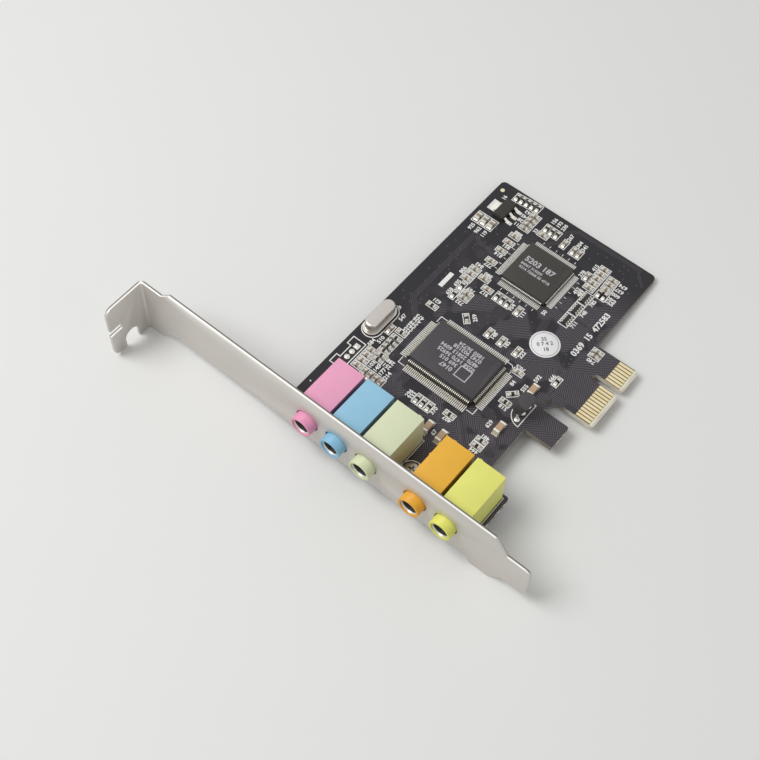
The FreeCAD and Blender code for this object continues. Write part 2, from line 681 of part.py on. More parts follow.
save("controller_chip", package_body(QFP_X, QFP_Y, QFP_W, QFP_L, QFP_BASE, QFP_TOP))
qfp_lead = gull_wing(QFP_LEAD_W, QFP_LEAD_T, QFP_REACH, QFP_FOOT, (QFP_BASE + QFP_TOP) / 2)
save("controller_leads", package_leads(QFP_X, QFP_Y, QFP_W, QFP_L,
                                       (QFP_SIDE_COUNT, QFP_END_COUNT), QFP_PITCH, qfp_lead))
save("bridge_chip", package_body(LQFP_X, LQFP_Y, LQFP_W, LQFP_W, LQFP_BASE, LQFP_TOP))
lqfp_lead = sloping_lead(LQFP_LEAD_W, LQFP_LEAD_T, LQFP_REACH, (LQFP_BASE + LQFP_TOP) / 2)
save("bridge_leads", package_leads(LQFP_X, LQFP_Y, LQFP_W, LQFP_W,
                                   (LQFP_SIDE_COUNT, LQFP_SIDE_COUNT), LQFP_PITCH, lqfp_lead))

crystal_can, crystal_base, crystal_pins = make_crystal()
save("crystal_can", crystal_can)
save("crystal_base", crystal_base)
save("crystal_pins", crystal_pins)

regulator, regulator_leads = make_regulator()
save("regulator_body", regulator)
save("regulator_leads", regulator_leads)

transistor, transistor_leads = make_transistor()
save("transistor_body", transistor)
save("transistor_leads", transistor_leads)

resistors, _ = chip_rows(CHIP_SMALL, RESISTOR_ROWS)
capacitors, _ = chip_rows(CHIP_SMALL, CAPACITOR_ROWS)
medium, medium_ends = chip_rows(CHIP_MEDIUM, MEDIUM_ROWS)
large, large_ends = chip_rows(CHIP_LARGE, LARGE_ROWS)
save("chip_resistors", resistors)
save("chip_capacitors", capacitors + medium)
save("large_capacitors", large)
save("chip_end_caps", medium_ends + large_ends)

array_bodies, array_caps = [], []
for array_x, array_y in spots(*ARRAY_ROW):
    array_body, caps = resistor_array(array_x, array_y)
    array_bodies.append(array_body)
    array_caps += caps
save("resistor_arrays", array_bodies)
save("array_terminals", array_caps)
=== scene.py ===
import math
import random

import bmesh
import bpy
from bpy.props import FloatProperty, FloatVectorProperty, IntProperty, PointerProperty
from mathutils import Matrix, Vector


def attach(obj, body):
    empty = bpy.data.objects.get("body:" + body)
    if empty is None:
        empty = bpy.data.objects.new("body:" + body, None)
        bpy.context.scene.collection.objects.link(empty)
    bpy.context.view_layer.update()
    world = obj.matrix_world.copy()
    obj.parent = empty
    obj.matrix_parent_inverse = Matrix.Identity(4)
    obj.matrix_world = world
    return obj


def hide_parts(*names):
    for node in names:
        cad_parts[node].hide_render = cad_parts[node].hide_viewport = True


bl_info = {
    "name": "Sound Card Dressing",
    "version": (1, 0, 0),
    "blender": (4, 5, 0),
    "location": "3D View > Sidebar > Sound Card",
    "description": "Dresses the packed sound card with print, solder and finishes",
    "category": "Object",
}

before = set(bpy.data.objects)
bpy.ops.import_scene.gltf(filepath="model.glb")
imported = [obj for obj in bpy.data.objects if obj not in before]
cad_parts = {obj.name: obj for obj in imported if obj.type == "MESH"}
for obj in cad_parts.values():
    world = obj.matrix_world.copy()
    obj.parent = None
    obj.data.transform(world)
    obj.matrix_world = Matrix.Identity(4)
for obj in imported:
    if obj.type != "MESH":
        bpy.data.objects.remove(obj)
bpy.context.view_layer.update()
MM = 0.001
JOIN = 1e-7

# Places and sizes on the card, in millimetres, as in the solids
BOARD_T, SHEET_T = 1.57, 0.86
BOARD_LOW, BOARD_TOP, BOARD_FAR = 12.5, 62.45, 93.35
TONGUE_X, TAB_LOW = 44.0, 4.35
CONTACT_LOW, CONTACT_HIGH = 1.1, 5.3
JACK_YS = {"lime": 9.95, "orange": 19.0, "green": 33.8, "blue": 42.85, "pink": 51.9}
JACK_BACK, JACK_H, JACK_W = 15.5, 10.4, 8.1
JACK_PIN_XS = (4.0, 7.6, 11.6)
JACK_PIPS = {"lime": (3.1,), "orange": (1.7, -2.35), "green": (-2.7,), "blue": (), "pink": ()}
NOZZLE_SET, NOZZLE_Z, NOZZLE_MOUTH = 1.0, 3.95, -2.5
MOUTH_R, MOUTH_DEPTH, BORE_R = 2.05, 0.3, 1.8
WIDE_MOUTH_R, FUNNEL_DEPTH = 2.45, 2.0
# Jacks whose side towards the next housing gets painted shade
PAINTED_GAP_SHADE_JACKS = ("pink", "blue", "orange")
SCREW = (7.1, 26.3)
QFP, QFP_SIZE, QFP_COUNTS, QFP_PITCH = (37.75, 36.35), (14.0, 20.0), (38, 26), 0.5
LQFP, LQFP_SIZE, LQFP_COUNTS, LQFP_PITCH = (73.4, 36.9), (14.0, 14.0), (32, 32), 0.4
CRYSTAL, CRYSTAL_PINS = (35.9, 59.4), 2.44
REGULATOR, REGULATOR_PITCH = (84.75, 55.95), 2.3
TRANSISTOR, TRANSISTOR_PITCH = (37.4, 15.45), 2.4
HEADER, HEADER_PITCH = (22.0, 58.72), 1.95
LABEL, LABEL_T = (57.2, 22.85), 0.13
FIDUCIAL = (90.4, 60.65)
ARRAY_PITCH = 0.8
TRACK_RISE, UPPER_PITCH, LOWER_PITCH = 0.022, 0.42, 0.6
VIA_COUNT, VIA_SEED, VIA_RISE = 110, 7, 0.03
TEXT_SCALE = 1.35

# Length, width, height and end cap of the chips
SMALL, MEDIUM, LARGE = (1.6, 0.8, 0.5, 0.44), (2.0, 1.25, 0.8, 0.55), (3.2, 1.6, 1.3, 0.5)

# Chips: place and turn in degrees, and for a row also its step and count
RESISTOR_ROWS = [
    (26.3, 52.3, 90, 1.55, 0, 2), (29.3, 52.7, 90, 1.63, 0, 4), (36.4, 52.7, 90), (48.0, 51.9, 90),
    (54.4, 49.8, 0, 3.5, 0, 2), (61.2, 40.8, 0, 0, -1.7, 3), (50.5, 42.8, 45),
    (23.8, 37.65, 0, 0, -1.8, 3), (25.35, 28.85, 90), (22.7, 18.55, 90, 1.85, 0, 2),
    (37.1, 20.5, 90), (40.1, 20.5, -45), (50.1, 14.1, 0), (90.9, 56.0, 0, 0.13, -1.63, 5),
    (87.5, 43.8, 0, 0, -1.67, 3), (79.2, 21.15, 0, 0, -1.6, 2),
]
CAPACITOR_ROWS = [
    (21.7, 55.1, 90, 1.9, 0, 4), (21.3, 52.6, 0, 0, -1.7, 4), (35.3, 55.6, 0),
    (55.1, 47.2, 90, 1.7, 0, 2), (60.6, 50.4, 90, 1.9, 0, 3), (63.5, 46.7, 90), (61.3, 44.1, 90),
    (61.0, 33.95, 0), (50.8, 35.7, 0, 0, -4.0, 2), (50.8, 26.9, 0), (46.0, 23.2, 90),
    (62.4, 11.2, 90, 1.55, 0, 2), (69.25, 48.8, 90, 4.45, 0, 2), (77.2, 48.8, 90, 2.55, 0, 2),
    (83.7, 48.4, 90, 1.68, 0, 4), (85.0, 43.25, 90), (86.3, 37.2, 0), (86.0, 34.05, 0, 0, -1.7, 2),
    (78.9, 24.2, 90, 1.87, 0, 5), (81.55, 26.6, 0), (81.4, 20.4, 90, 1.75, 0.1, 3),
]
MEDIUM_ROWS = [(78.8, 60.2, 0, 0, -2.2, 3)]
LARGE_ROWS = [(19.05, 30.75, 0), (19.05, 26.65, 0), (30.05, 17.2, 0), (44.0, 17.2, 0)]
ARRAY_ROWS = [(66.9, 22.9, 0, 4.3, 0, 3)]

# Printed numbers beside the chips, in the same form
NUMBER_ROWS = [
    (24.2, 52.5, 0, 0, -1.7, 4), (26.3, 49.35, 90, 1.55, 0, 2), (38.0, 52.1, 90, 1.3, 0, 5),
    (31.4, 55.4, 0, 8.8, 0, 2), (29.3, 56.7, 0), (50.0, 51.9, 90), (54.5, 51.3, 0, 3.4, 0, 2),
    (53.4, 47.2, 90, 4.9, 0, 2), (62.2, 52.7, 0), (66.2, 50.3, 90), (65.1, 46.6, 90),
    (59.8, 44.0, 90), (60.9, 35.95, 0, 0, -3.45, 2), (50.9, 34.2, 0, 0, -4.0, 2), (50.9, 25.4, 0),
    (52.1, 41.2, 45), (23.8, 40.2, 0, 0, -1.15, 2), (23.8, 32.5, 0), (24.0, 28.6, 90),
    (21.3, 18.4, 90, 4.7, 0, 2), (35.6, 20.1, 90), (43.4, 19.2, 0), (47.7, 18.3, 0),
    (29.6, 19.9, 0), (50.2, 15.6, 0), (47.5, 23.2, 90), (60.7, 11.1, 90),
    (67.75, 48.6, 90, 4.45, 0, 2), (75.75, 48.6, 90, 5.5, 0, 2), (75.1, 59.7, 0, 0, -2.05, 3),
    (90.9, 43.6, 0, 0, -1.65, 3), (89.2, 37.1, 0), (88.9, 34.0, 0, 0, -1.7, 2), (81.5, 28.1, 0),
    (85.4, 26.5, 0), (76.1, 26.1, 0, 0, -1.2, 2), (79.0, 18.0, 0, 0, -1.2, 2),
    (81.5, 17.5, 90, 1.75, 0, 3), (66.9, 20.6, 0, 4.3, 0, 3),
]
SHORT_NUMBER_ROWS = [
    (83.6, 50.95, 90, 1.7, 0, 4), (41.8, 58.1, -45), (88.7, 58.7, 0), (85.0, 45.6, 0),
    (65.0, 28.6, 0), (19.0, 28.7, 0), (42.7, 22.3, 0),
]
LONG_NUMBER = ("0369  15  472583", (67.3, 15.6), 1.7)

# Bundles of tracks: the middle of each and how many tracks it has
UPPER_BUNDLES = [
    ([(46.6, 5.6), (46.6, 8.6), (41.6, 13.6), (41.6, 18.4), (39.5, 20.5), (39.5, 23.4)], 5),
    ([(52.0, 5.6), (52.0, 15.0), (57.0, 20.0), (57.0, 25.5), (66.2, 27.4)], 5),
    ([(60.5, 5.6), (60.5, 9.5), (66.0, 15.0), (68.6, 17.6), (68.6, 27.4)], 5),
    ([(17.2, 15.4), (26.0, 15.4), (32.0, 21.4), (32.0, 23.4)], 6),
    ([(17.2, 20.0), (20.2, 20.0), (27.0, 26.8)], 5),
    ([(16.8, 36.5), (20.2, 36.5), (22.0, 34.0), (22.0, 30.6), (27.4, 27.6)], 5),
    ([(16.6, 44.2), (27.5, 44.2)], 7),
    ([(48.1, 39.5), (53.5, 39.5), (56.0, 37.0), (64.2, 37.0)], 8),
    ([(48.1, 31.0), (53.0, 31.0), (55.8, 33.2), (64.2, 33.2)], 5),
    ([(34.0, 49.4), (34.0, 51.2), (36.6, 53.8), (36.6, 56.6)], 3),
    ([(42.6, 49.4), (42.6, 53.0), (47.0, 57.4), (74.0, 57.4)], 4),
    ([(70.0, 46.2), (70.0, 47.0), (72.0, 51.6), (72.0, 55.0), (76.0, 59.0)], 3),
    ([(82.6, 40.5), (84.0, 40.5), (85.6, 38.8), (90.0, 38.8), (92.2, 36.6), (92.2, 16.5)], 3),
    ([(76.4, 27.6), (76.4, 26.4), (73.0, 18.0), (73.0, 15.4)], 4),
    ([(88.0, 13.6), (92.0, 17.6)], 2),
    ([(18.2, 22.8), (18.2, 24.4), (22.4, 28.6)], 3),
]
LOWER_BUNDLES = [
    ([(12.6, 52.5), (24.0, 52.5), (32.0, 44.5), (32.0, 26.0)], 4),
    ([(12.6, 43.5), (22.0, 43.5), (27.0, 38.5), (27.0, 22.0), (34.0, 17.0)], 4),
    ([(12.6, 19.6), (24.0, 19.6), (30.0, 25.6)], 3),
    ([(48.5, 5.6), (48.5, 20.0), (42.0, 26.5), (42.0, 46.0), (48.0, 52.0), (76.0, 52.0)], 5),
    ([(54.0, 5.6), (54.0, 22.0), (64.0, 32.0), (86.0, 32.0)], 4),
    ([(61.4, 5.6), (61.4, 14.0), (70.0, 22.6), (88.0, 22.6)], 4),
    ([(22.0, 58.9), (22.0, 56.0), (26.0, 52.0)], 1),
    ([(52.0, 59.0), (88.0, 59.0), (91.0, 56.0), (91.0, 40.0)], 3),
]

# Sizes and colours that can be changed

def colour_setting(label, text, colour):
    """A colour that can be changed, from its 0 to 255 values."""
    return FloatVectorProperty(name=label, description=text, subtype="COLOR", size=3,
                               min=0, max=1, default=srgb(*colour))


def length_setting(label, text, millimetres):
    """A length that can be changed."""
    return FloatProperty(name=label, description=text, default=millimetres * MM, unit="LENGTH")


def srgb(red, green, blue):
    """Linear colour from the 0 to 255 values seen on a screen."""
    return tuple(c / 3294.6 if c <= 10 else ((c / 255 + 0.055) / 1.055) ** 2.4
                 for c in (red, green, blue))


class BoardSettings(bpy.types.PropertyGroup):
    """Colours of the board, its ink and its tracks"""
    mask: colour_setting("Solder mask", "Colour of the board's solder mask", (41, 39, 43))
    track: colour_setting("Covered track", "Mask colour over a copper track", (96, 90, 97))
    edge: colour_setting("Cut edge", "Glass fibre at the board's cut edges", (224, 219, 202))
    routed_edge: colour_setting("Routed edge", "Cut edge away from the tongue", (136, 129, 118))
    ink: colour_setting("Print", "Colour of the screen printed ink", (244, 244, 240))
    ink_line: length_setting("Print line", "Width of a printed line", 0.22)
    ink_height: length_setting("Print height", "Thickness of the printed ink", 0.025)
    number_height: length_setting("Number height", "Height of a printed number", 1.15)
    track_width: length_setting("Track width", "Width of a copper track", 0.2)
    track_pitch: length_setting("Track pitch", "Distance between two tracks", 0.5)


class BracketSettings(bpy.types.PropertyGroup):
    """Sheet metal of the bracket"""
    metal: colour_setting("Sheet", "Colour of the plated steel sheet", (211, 207, 201))
    rolled_edge: length_setting("Rolled edge", "Radius along the sheet's edges", 0.13)
    grain: length_setting("Grain", "Length of the sheet's rolling grain", 6)


class JackSettings(bpy.types.PropertyGroup):
    """Plastic of the five jacks"""
    lime: colour_setting("Lime", "First jack", (227, 227, 118))
    orange: colour_setting("Orange", "Second jack", (232, 176, 56))
    green: colour_setting("Green", "Third jack", (214, 221, 187))
    blue: colour_setting("Blue", "Fourth jack", (146, 194, 220))
    pink: colour_setting("Pink", "Fifth jack", (232, 162, 193))
    moulded_edge: length_setting("Moulded edge", "Radius of the moulded edges", 0.07)


class ChipSettings(bpy.types.PropertyGroup):
    """Packages, small chips and the leads of the large package"""
    package: colour_setting("Package", "Moulding compound of the packages", (62, 59, 62))
    lead: colour_setting("Lead", "Tin plated leads and solder lands", (228, 223, 208))
    resistor: colour_setting("Resistor", "Glass over a chip resistor", (34, 33, 36))
    capacitor: colour_setting("Capacitor", "Ceramic of a chip capacitor", (150, 136, 120))
    large_capacitor: colour_setting("Large capacitor", "Ceramic of a large one", (188, 159, 130))
    side_leads: IntProperty(name="Side leads", description="Leads on each long side",
                            default=QFP_COUNTS[0], min=1)
    end_leads: IntProperty(name="End leads", description="Leads on each short side",
                           default=QFP_COUNTS[1], min=1)


class StageSettings(bpy.types.PropertyGroup):
    """Floor, lights and sky"""
    floor: colour_setting("Floor", "Plain pale floor", (226, 226, 224))
    key_power: FloatProperty(name="Key light", description="Power of the large soft light",
                             default=3.4, min=0, unit="POWER")
    fill_power: FloatProperty(name="Fill light", description="Power of the light opposite",
                              default=0.3, min=0, unit="POWER")
    sky: FloatProperty(name="Sky", description="Strength of the even light from all round",
                       default=0.5, min=0)


def settings(name):
    """The group of settings with this name, as the scene holds it."""
    return getattr(bpy.context.scene, "card_" + name)


# Nodes

class Value:
    """One output of a node, which can be used in plain arithmetic."""

    def __init__(self, graph, socket):
        self.graph = graph
        self.socket = socket

    def _math(self, operation, first, second):
        return self.graph.add("ShaderNodeMath", {"operation": operation}, {0: first, 1: second})

    def __add__(self, other):
        return self._math("ADD", self, other)

    def __sub__(self, other):
        return self._math("SUBTRACT", self, other)

    def __rsub__(self, other):
        return self._math("SUBTRACT", other, self)

    def __mul__(self, other):
        return self._math("MULTIPLY", self, other)

    def __truediv__(self, other):
        return self._math("DIVIDE", self, other)

    def __gt__(self, other):
        return self._math("GREATER_THAN", self, other)

    def __lt__(self, other):
        return self._math("LESS_THAN", self, other)

    __radd__ = __add__
    __rmul__ = __mul__


class Graph:
    """A node tree and the one way in which its nodes are made."""

    def __init__(self, tree):
        self.tree = tree
        tree.nodes.clear()

    def add(self, kind, options=None, values=None, output=0):
        """Make a node, set its options, set or link its inputs and give one output."""
        node = self.tree.nodes.new(kind)
        for key, option in (options or {}).items():
            if key == "stops":
                self._stops(node.color_ramp, option)
            else:
                setattr(node, key, option)
        for key, value in (values or {}).items():
            socket = node.inputs[key]
            for source in value if isinstance(value, list) else [value]:
                if isinstance(source, Value):
                    self.tree.links.new(source.socket, socket)
                else:
                    socket.default_value = source
        return Value(self, node.outputs[output]) if len(node.outputs) else None

    def _stops(self, ramp, stops):
        while len(ramp.elements) < len(stops):
            ramp.elements.new(0.5)
        for element, (position, level) in zip(ramp.elements, stops):
            element.position = position
            element.color = (level, level, level, 1)


class Finish(Graph):
    """A material and the steps that several finishes share."""

    def __init__(self, name):
        self.material = bpy.data.materials.new(name)
        self.material.use_nodes = True
        super().__init__(self.material.node_tree)
        self.place = self.add("ShaderNodeTexCoord", output="Object")

    def axis(self, name):
        """The place along one axis, in millimetres."""
        return self.add("ShaderNodeSeparateXYZ", None, {0: self.place}, name) / MM

    def facing(self, name):
        """How far the surface faces along one axis, from -1 to 1."""
        normal = self.add("ShaderNodeNewGeometry", output="Normal")
        return self.add("ShaderNodeSeparateXYZ", None, {0: normal}, name)

    def noise(self, grain, detail=3.0, stretch=(1, 1, 1)):
        """Soft noise whose features are about so many millimetres across."""
        where = self.add("ShaderNodeMapping", None, {"Vector": self.place, "Scale": stretch})
        return self.add("ShaderNodeTexNoise", None,
                        {"Vector": where, "Scale": 1 / (grain * MM), "Detail": detail})

    def ramp(self, value, low, high):
        """Zero below low, one above high, straight between."""
        return self.add("ShaderNodeValToRGB", {"stops": [(low, 0), (high, 1)]}, {0: value})

    def mix(self, low, high, factor):
        """Colour between two, each plain or from a node."""
        low, high = [c if isinstance(c, Value) else (*c, 1) for c in (low, high)]
        return self.add("ShaderNodeMix", {"data_type": "RGBA"}, {0: factor, 6: low, 7: high}, 2)

    def bump(self, height, distance):
        """Normal of a surface with relief of so many millimetres."""
        return self.add("ShaderNodeBump", None, {"Height": height, "Distance": distance * MM})

    def surface(self, colour, roughness, metallic=0.0, normal=None, **constants):
        """The finished material."""
        colour = colour if isinstance(colour, Value) else (*colour, 1)
        values = {"Base Color": colour, "Roughness": roughness, "Metallic": metallic}
        if normal:
            values["Normal"] = normal
        values.update({key.replace("_", " "): value for key, value in constants.items()})
        shader = self.add("ShaderNodeBsdfPrincipled", None, values)
        self.add("ShaderNodeOutputMaterial", None, {"Surface": shader})
        return self.material


def tint(colour, factor):
    """A colour made darker or lighter."""
    return tuple(min(1.0, c * factor) for c in colour)


# Finishes

def covered_tracks(f, pitch):
    """Bundles of fine parallel tracks that run straight or at 45 degrees, patch by patch."""
    x, y = f.axis("X"), f.axis("Y")
    where = f.add("ShaderNodeMapping", None, {
        "Vector": f.place, "Rotation": (0, 0, math.pi / 4), "Scale": (1, 0.55, 0)})
    patch = f.add("ShaderNodeTexVoronoi", {"voronoi_dimensions": "2D", "distance": "CHEBYCHEV"},
                  {"Vector": where, "Scale": 1 / (7.5 * MM), "Randomness": 0.8}, "Color")
    draw = [f.add("ShaderNodeSeparateColor", None, {0: patch}, name) for name in ("Red", "Green")]
    slant, way = draw[0] > 0.24, draw[1] > 0.3
    straight = x * way + y * (1 - way)
    slanted = (x + y * (way * 2 - 1)) * 0.7071
    across = slanted * slant + straight * (1 - slant)
    wave = f.add("ShaderNodeMath", {"operation": "SINE"}, {0: across * (2 * math.pi / pitch)})
    lines = f.ramp(wave * 0.5 + 0.5, 0.42, 0.62)
    clear = f.ramp(y / 64, 0.72, 0.9) + f.ramp(x / 100, 0.74, 0.86)
    dense = f.ramp(f.noise(6, 1) + 0.16 * (1 - f.ramp(y / 40, 0.3, 0.8)), 0.46, 0.54)
    return lines * dense * (1 - f.ramp(clear, 0.0, 1.0))


def board_finish(f):
    """Dark solder mask over tracks on both faces, glass fibre layers at the cut edges, with a
    painted highlight along the rims of the tongue's cut edges.
    """
    look = settings("board")
    x, y, z = f.axis("X"), f.axis("Y"), f.axis("Z")
    below_top, above_bottom = z < -0.02, z > 0.02 - BOARD_T
    edge = below_top * above_bottom
    # Bands of the cut edge next to both faces, which get a painted highlight on the tongue.
    rim = below_top * (z > -0.16) + above_bottom * (z < 0.22 - BOARD_T)
    cloud = f.noise(9)
    speck = f.noise(0.35, 2)
    lines = covered_tracks(f, look.track_pitch / MM)
    mask = f.mix(tint(look.mask, 0.88), tint(look.mask, 1.14), cloud)
    mask = f.mix(mask, look.track, lines * 0.9)
    mask = f.mix(mask, tint(look.mask, 1.4), f.ramp(speck, 0.62, 0.8) * 0.35)
    on_tongue = x > TONGUE_X
    uncoated = (1 - f.ramp(y * 0.1, 0.6, 0.9)) * on_tongue
    stripe = f.ramp(f.noise(0.22, 2, (0.06, 0.06, 1.0)), 0.35, 0.65)
    clean_cut_and_highlight = f.mix(tint(look.edge, 0.8), tint(look.edge, 1.04), stripe)
    # Painted highlight along the rims of the cut edge.
    clean_cut_and_highlight = f.mix(clean_cut_and_highlight, tint(look.edge, 1.2), rim * 0.7)
    routed = f.mix(tint(look.routed_edge, 0.8), tint(look.routed_edge, 1.15), stripe)
    snapped = (y < TAB_LOW + 0.1) * (1 - on_tongue) * f.ramp(f.noise(0.8), 0.5, 0.6)
    fibre = f.mix(f.mix(routed, look.edge, snapped), clean_cut_and_highlight, uncoated)
    resin = f.mix(srgb(112, 98, 62), srgb(216, 212, 170), y < CONTACT_LOW - 0.05)
    mask = f.mix(mask, resin, (y < CONTACT_HIGH + 0.1) * on_tongue)
    rough = edge * 0.38 + 0.4 + 0.12 * cloud
    normal = f.bump(f.noise(0.5, 1) * 0.4 + speck * 0.3 + lines * 0.5 * (1 - edge), 0.014)
    return f.surface(f.mix(mask, fibre, edge), rough, 0.0, normal, Specular_IOR_Level=0.3)


def track_finish(f):
    """Solder mask over the side and top of a raised track."""
    track = settings("board").track
    colour = f.mix(tint(track, 0.5), tint(track, 0.66), f.noise(3))
    return f.surface(colour, f.noise(0.6) * 0.15 + 0.4, 0.0, f.bump(f.noise(0.4), 0.006),
                     Specular_IOR_Level=0.3)


def ink_finish(f):
    """Thin matt ink, a little uneven where the mask shows through."""
    ink = settings("board").ink
    thin = f.ramp(f.noise(0.3, 4), 0.30, 0.62)
    colour = f.mix(tint(ink, 0.72), ink, thin)
    return f.surface(colour, 0.62, 0.0, f.bump(f.noise(0.12, 2), 0.008))


def gold_finish(f):
    """Flash gold with fine wear lines along the way a card slides in."""
    lines = f.noise(0.15, 3, (1, 0.04, 1))
    blush = f.noise(2.5)
    colour = f.mix(srgb(236, 214, 158), srgb(252, 242, 212), blush)
    return f.surface(colour, lines * 0.2 + 0.24, 0.85, f.bump(lines, 0.004))


def sheet_finish(f):
    """Satin zinc plate with a faint rolling grain along the bracket, and painted light on its
    upward faces: a painted highlight on their near half, painted shade on their far half and on the
    flange.
    """
    look = settings("bracket")
    grain = f.noise(0.18, 4, (1, 0.18 * MM / look.grain, 1))
    cloud = f.noise(14, 2)
    colour = f.mix(tint(look.metal, 0.9), tint(look.metal, 1.06), cloud * 0.6 + grain * 0.4)
    speck = f.ramp(f.noise(0.5, 5), 0.66, 0.74)
    colour = f.mix(colour, tint(look.metal, 0.62), speck * 0.35)
    # Upward faces of the sheet: a painted highlight near the front, painted shade on the far half
    # and on the flange.
    painted_upward_faces = f.ramp(f.facing("Z"), 0.6, 0.85)
    painted_far_shade = f.ramp(f.axis("X"), 0.38, 0.5)
    painted_far_shade = painted_far_shade + f.ramp(f.axis("Y") - 107, 0.15, 0.27) * (1 - painted_far_shade)
    painted_edge_light_and_shade = f.mix(srgb(252, 250, 246), srgb(112, 106, 100), painted_far_shade)
    colour = f.mix(colour, painted_edge_light_and_shade, painted_upward_faces)
    return f.surface(colour, grain * 0.16 + cloud * 0.12 + 0.38, 0.62 - 0.4 * painted_upward_faces,
                     f.bump(grain, 0.006))


def even(low, high, grain, rough, detail=3.0):
    """Maker of a plain finish that drifts between two shades."""
    def make(f):
        return f.surface(f.mix(low, high, f.noise(grain, detail)), rough)
    return make


def clouded(colour, shades, grains, rough, metallic, relief):
    """Maker of a finish whose shade follows a soft cloud and a fine grain."""
    def make(f):
        cloud, fine = f.noise(grains[0]), f.noise(grains[1])
        shade = f.mix(*(tint(colour, shade) for shade in shades), cloud * 0.5 + fine * 0.5)
        low, high = rough
        return f.surface(shade, fine * (high - low) + low, metallic, f.bump(fine, relief))
    return make


def plain_metal(colour, low, high, fleck, metallic):
    """Maker of a slightly clouded metal, from its roughness and its darkest shade."""
    return clouded(colour, (fleck, 1), (1.6, 0.18), (low, high), metallic, 0.008)


def compound(colour):
    """Maker of a moulding compound: a dark, dusty matt surface with fine grit."""
    return clouded(colour, (0.84, 1.12), (4, 0.09), (0.56, 0.68), 0.0, 0.012)


def moulded(colour, depth):
    """Maker of a satin moulded plastic with a spark eroded grain.

    The depth is how much painted shade darkens the side that faces the next housing.
    """
    def make(f):
        grain = f.noise(0.16, 2)
        cloud = f.noise(5)
        x = f.axis("X")
        nozzle = x < 0.4
        shade = f.mix(tint(colour, 0.92), tint(colour, 1.05), cloud)
        # The nozzle gets painted shade: a deeper, more saturated copy of the housing's colour.
        shade = f.mix(shade, tuple(c ** 1.25 for c in colour), nozzle * 0.75)
        # Painted shade on the side that faces the next housing, where the gap between two jacks
        # lies in shade.
        painted_gap_shade_side = f.facing("Y") < -0.7
        shade = f.mix(shade, tint(colour, 0.3), painted_gap_shade_side * (x > 1.5) * depth)
        return f.surface(shade, grain * 0.1 + 0.42, 0.0, f.bump(grain, 0.010),
                         Subsurface_Weight=0.08, Subsurface_Scale=0.0015)
    return make


def formed_lead(colour, height, metallic):
    """Maker of a tin plate with painted shade, and a rougher finish, where a lead runs down to its
    foot.
    """
    def make(f):
        up = f.axis("Z") / height
        fine = f.noise(0.18, 3)
        # Painted shade on the part of the lead that runs down to its foot.
        slope = f.ramp(up, 0.1, 0.18) * (1 - f.ramp(up, 0.6, 0.72))
        shade = f.mix(tint(colour, 0.84), colour, fine)
        shade = f.mix(shade, tint(colour, 0.2), slope)
        return f.surface(shade, fine * 0.16 + 0.28 + slope * 0.2, metallic,
                         f.bump(fine, 0.008))
    return make


def ceramic(colour, rough):
    """Maker of a fired ceramic or glass finish."""
    def make(f):
        cloud = f.noise(0.5)
        shade = f.mix(tint(colour, 0.8), tint(colour, 1.15), cloud)
        return f.surface(shade, cloud * 0.1 + rough, 0.0, f.bump(f.noise(0.1), 0.006))
    return make


def paper_finish(f):
    """White coated paper of the round label."""
    fibre = f.noise(0.12, 4)
    colour = f.mix(srgb(222, 222, 222), srgb(240, 240, 239), fibre)
    return f.surface(colour, 0.55, 0.0, f.bump(fibre, 0.006))


def finish(name):
    """A finish on the card by its name, made once."""
    jacks, chips, pale = settings("jacks"), settings("chips"), settings("stage").floor
    makers = {
        "solder_mask": board_finish, "covered_track": track_finish, "print_ink": ink_finish,
        "flash_gold": gold_finish, "zinc_sheet": sheet_finish, "label_paper": paper_finish,
        "stage_floor": even(tint(pale, 0.98), pale, 60, 0.85),
        "bore_shade": even(srgb(26, 25, 25), srgb(38, 36, 36), 0.6, 0.6),
        "label_ink": even(srgb(92, 92, 94), srgb(132, 132, 134), 0.2, 0.6, 4),
        "package_marking": even(srgb(158, 156, 160), srgb(206, 204, 208), 0.2, 0.7, 4),
        "package_compound": compound(chips.package),
        "bridge_compound": compound(srgb(56, 53, 49)),
        "transistor_compound": compound(srgb(70, 68, 69)),
        "regulator_compound": compound(srgb(46, 43, 36)),
        "formed_lead_tin": formed_lead(chips.lead, 2.0, 0.7),
        "fine_lead_tin": formed_lead(srgb(246, 243, 234), 0.9, 0.5),
        "lead_tin": plain_metal(chips.lead, 0.28, 0.45, 0.86, 0.7),
        "end_cap_tin": plain_metal(srgb(250, 247, 238), 0.3, 0.45, 0.92, 0.22),
        "chip_tin": plain_metal(srgb(230, 225, 213), 0.3, 0.45, 0.88, 0.3),
        "chip_solder": plain_metal(srgb(220, 215, 204), 0.26, 0.42, 0.84, 0.42),
        "bright_solder": plain_metal(srgb(238, 236, 230), 0.24, 0.4, 0.86, 0.42),
        "crystal_nickel": plain_metal(srgb(214, 208, 202), 0.26, 0.38, 0.92, 0.88),
        "contact_nickel": plain_metal(srgb(236, 233, 226), 0.36, 0.5, 0.9, 0.55),
        "screw_zinc": plain_metal(srgb(196, 190, 178), 0.26, 0.44, 0.75, 0.88),
        "target_copper": plain_metal(srgb(236, 231, 192), 0.4, 0.5, 0.94, 0.2),
        "resistor_glass": ceramic(chips.resistor, 0.25),
        "capacitor_ceramic": ceramic(chips.capacitor, 0.4),
        "large_capacitor_ceramic": ceramic(chips.large_capacitor, 0.4),
    }
    # Painted shade of 0.75 on the gap side of the jacks that have a close neighbour.
    makers.update({"moulded_" + key: moulded(getattr(jacks, key), 0.75 * (key in PAINTED_GAP_SHADE_JACKS))
                   for key in JACK_YS})
    return bpy.data.materials.get(name) or makers[name](Finish(name))


# Pieces

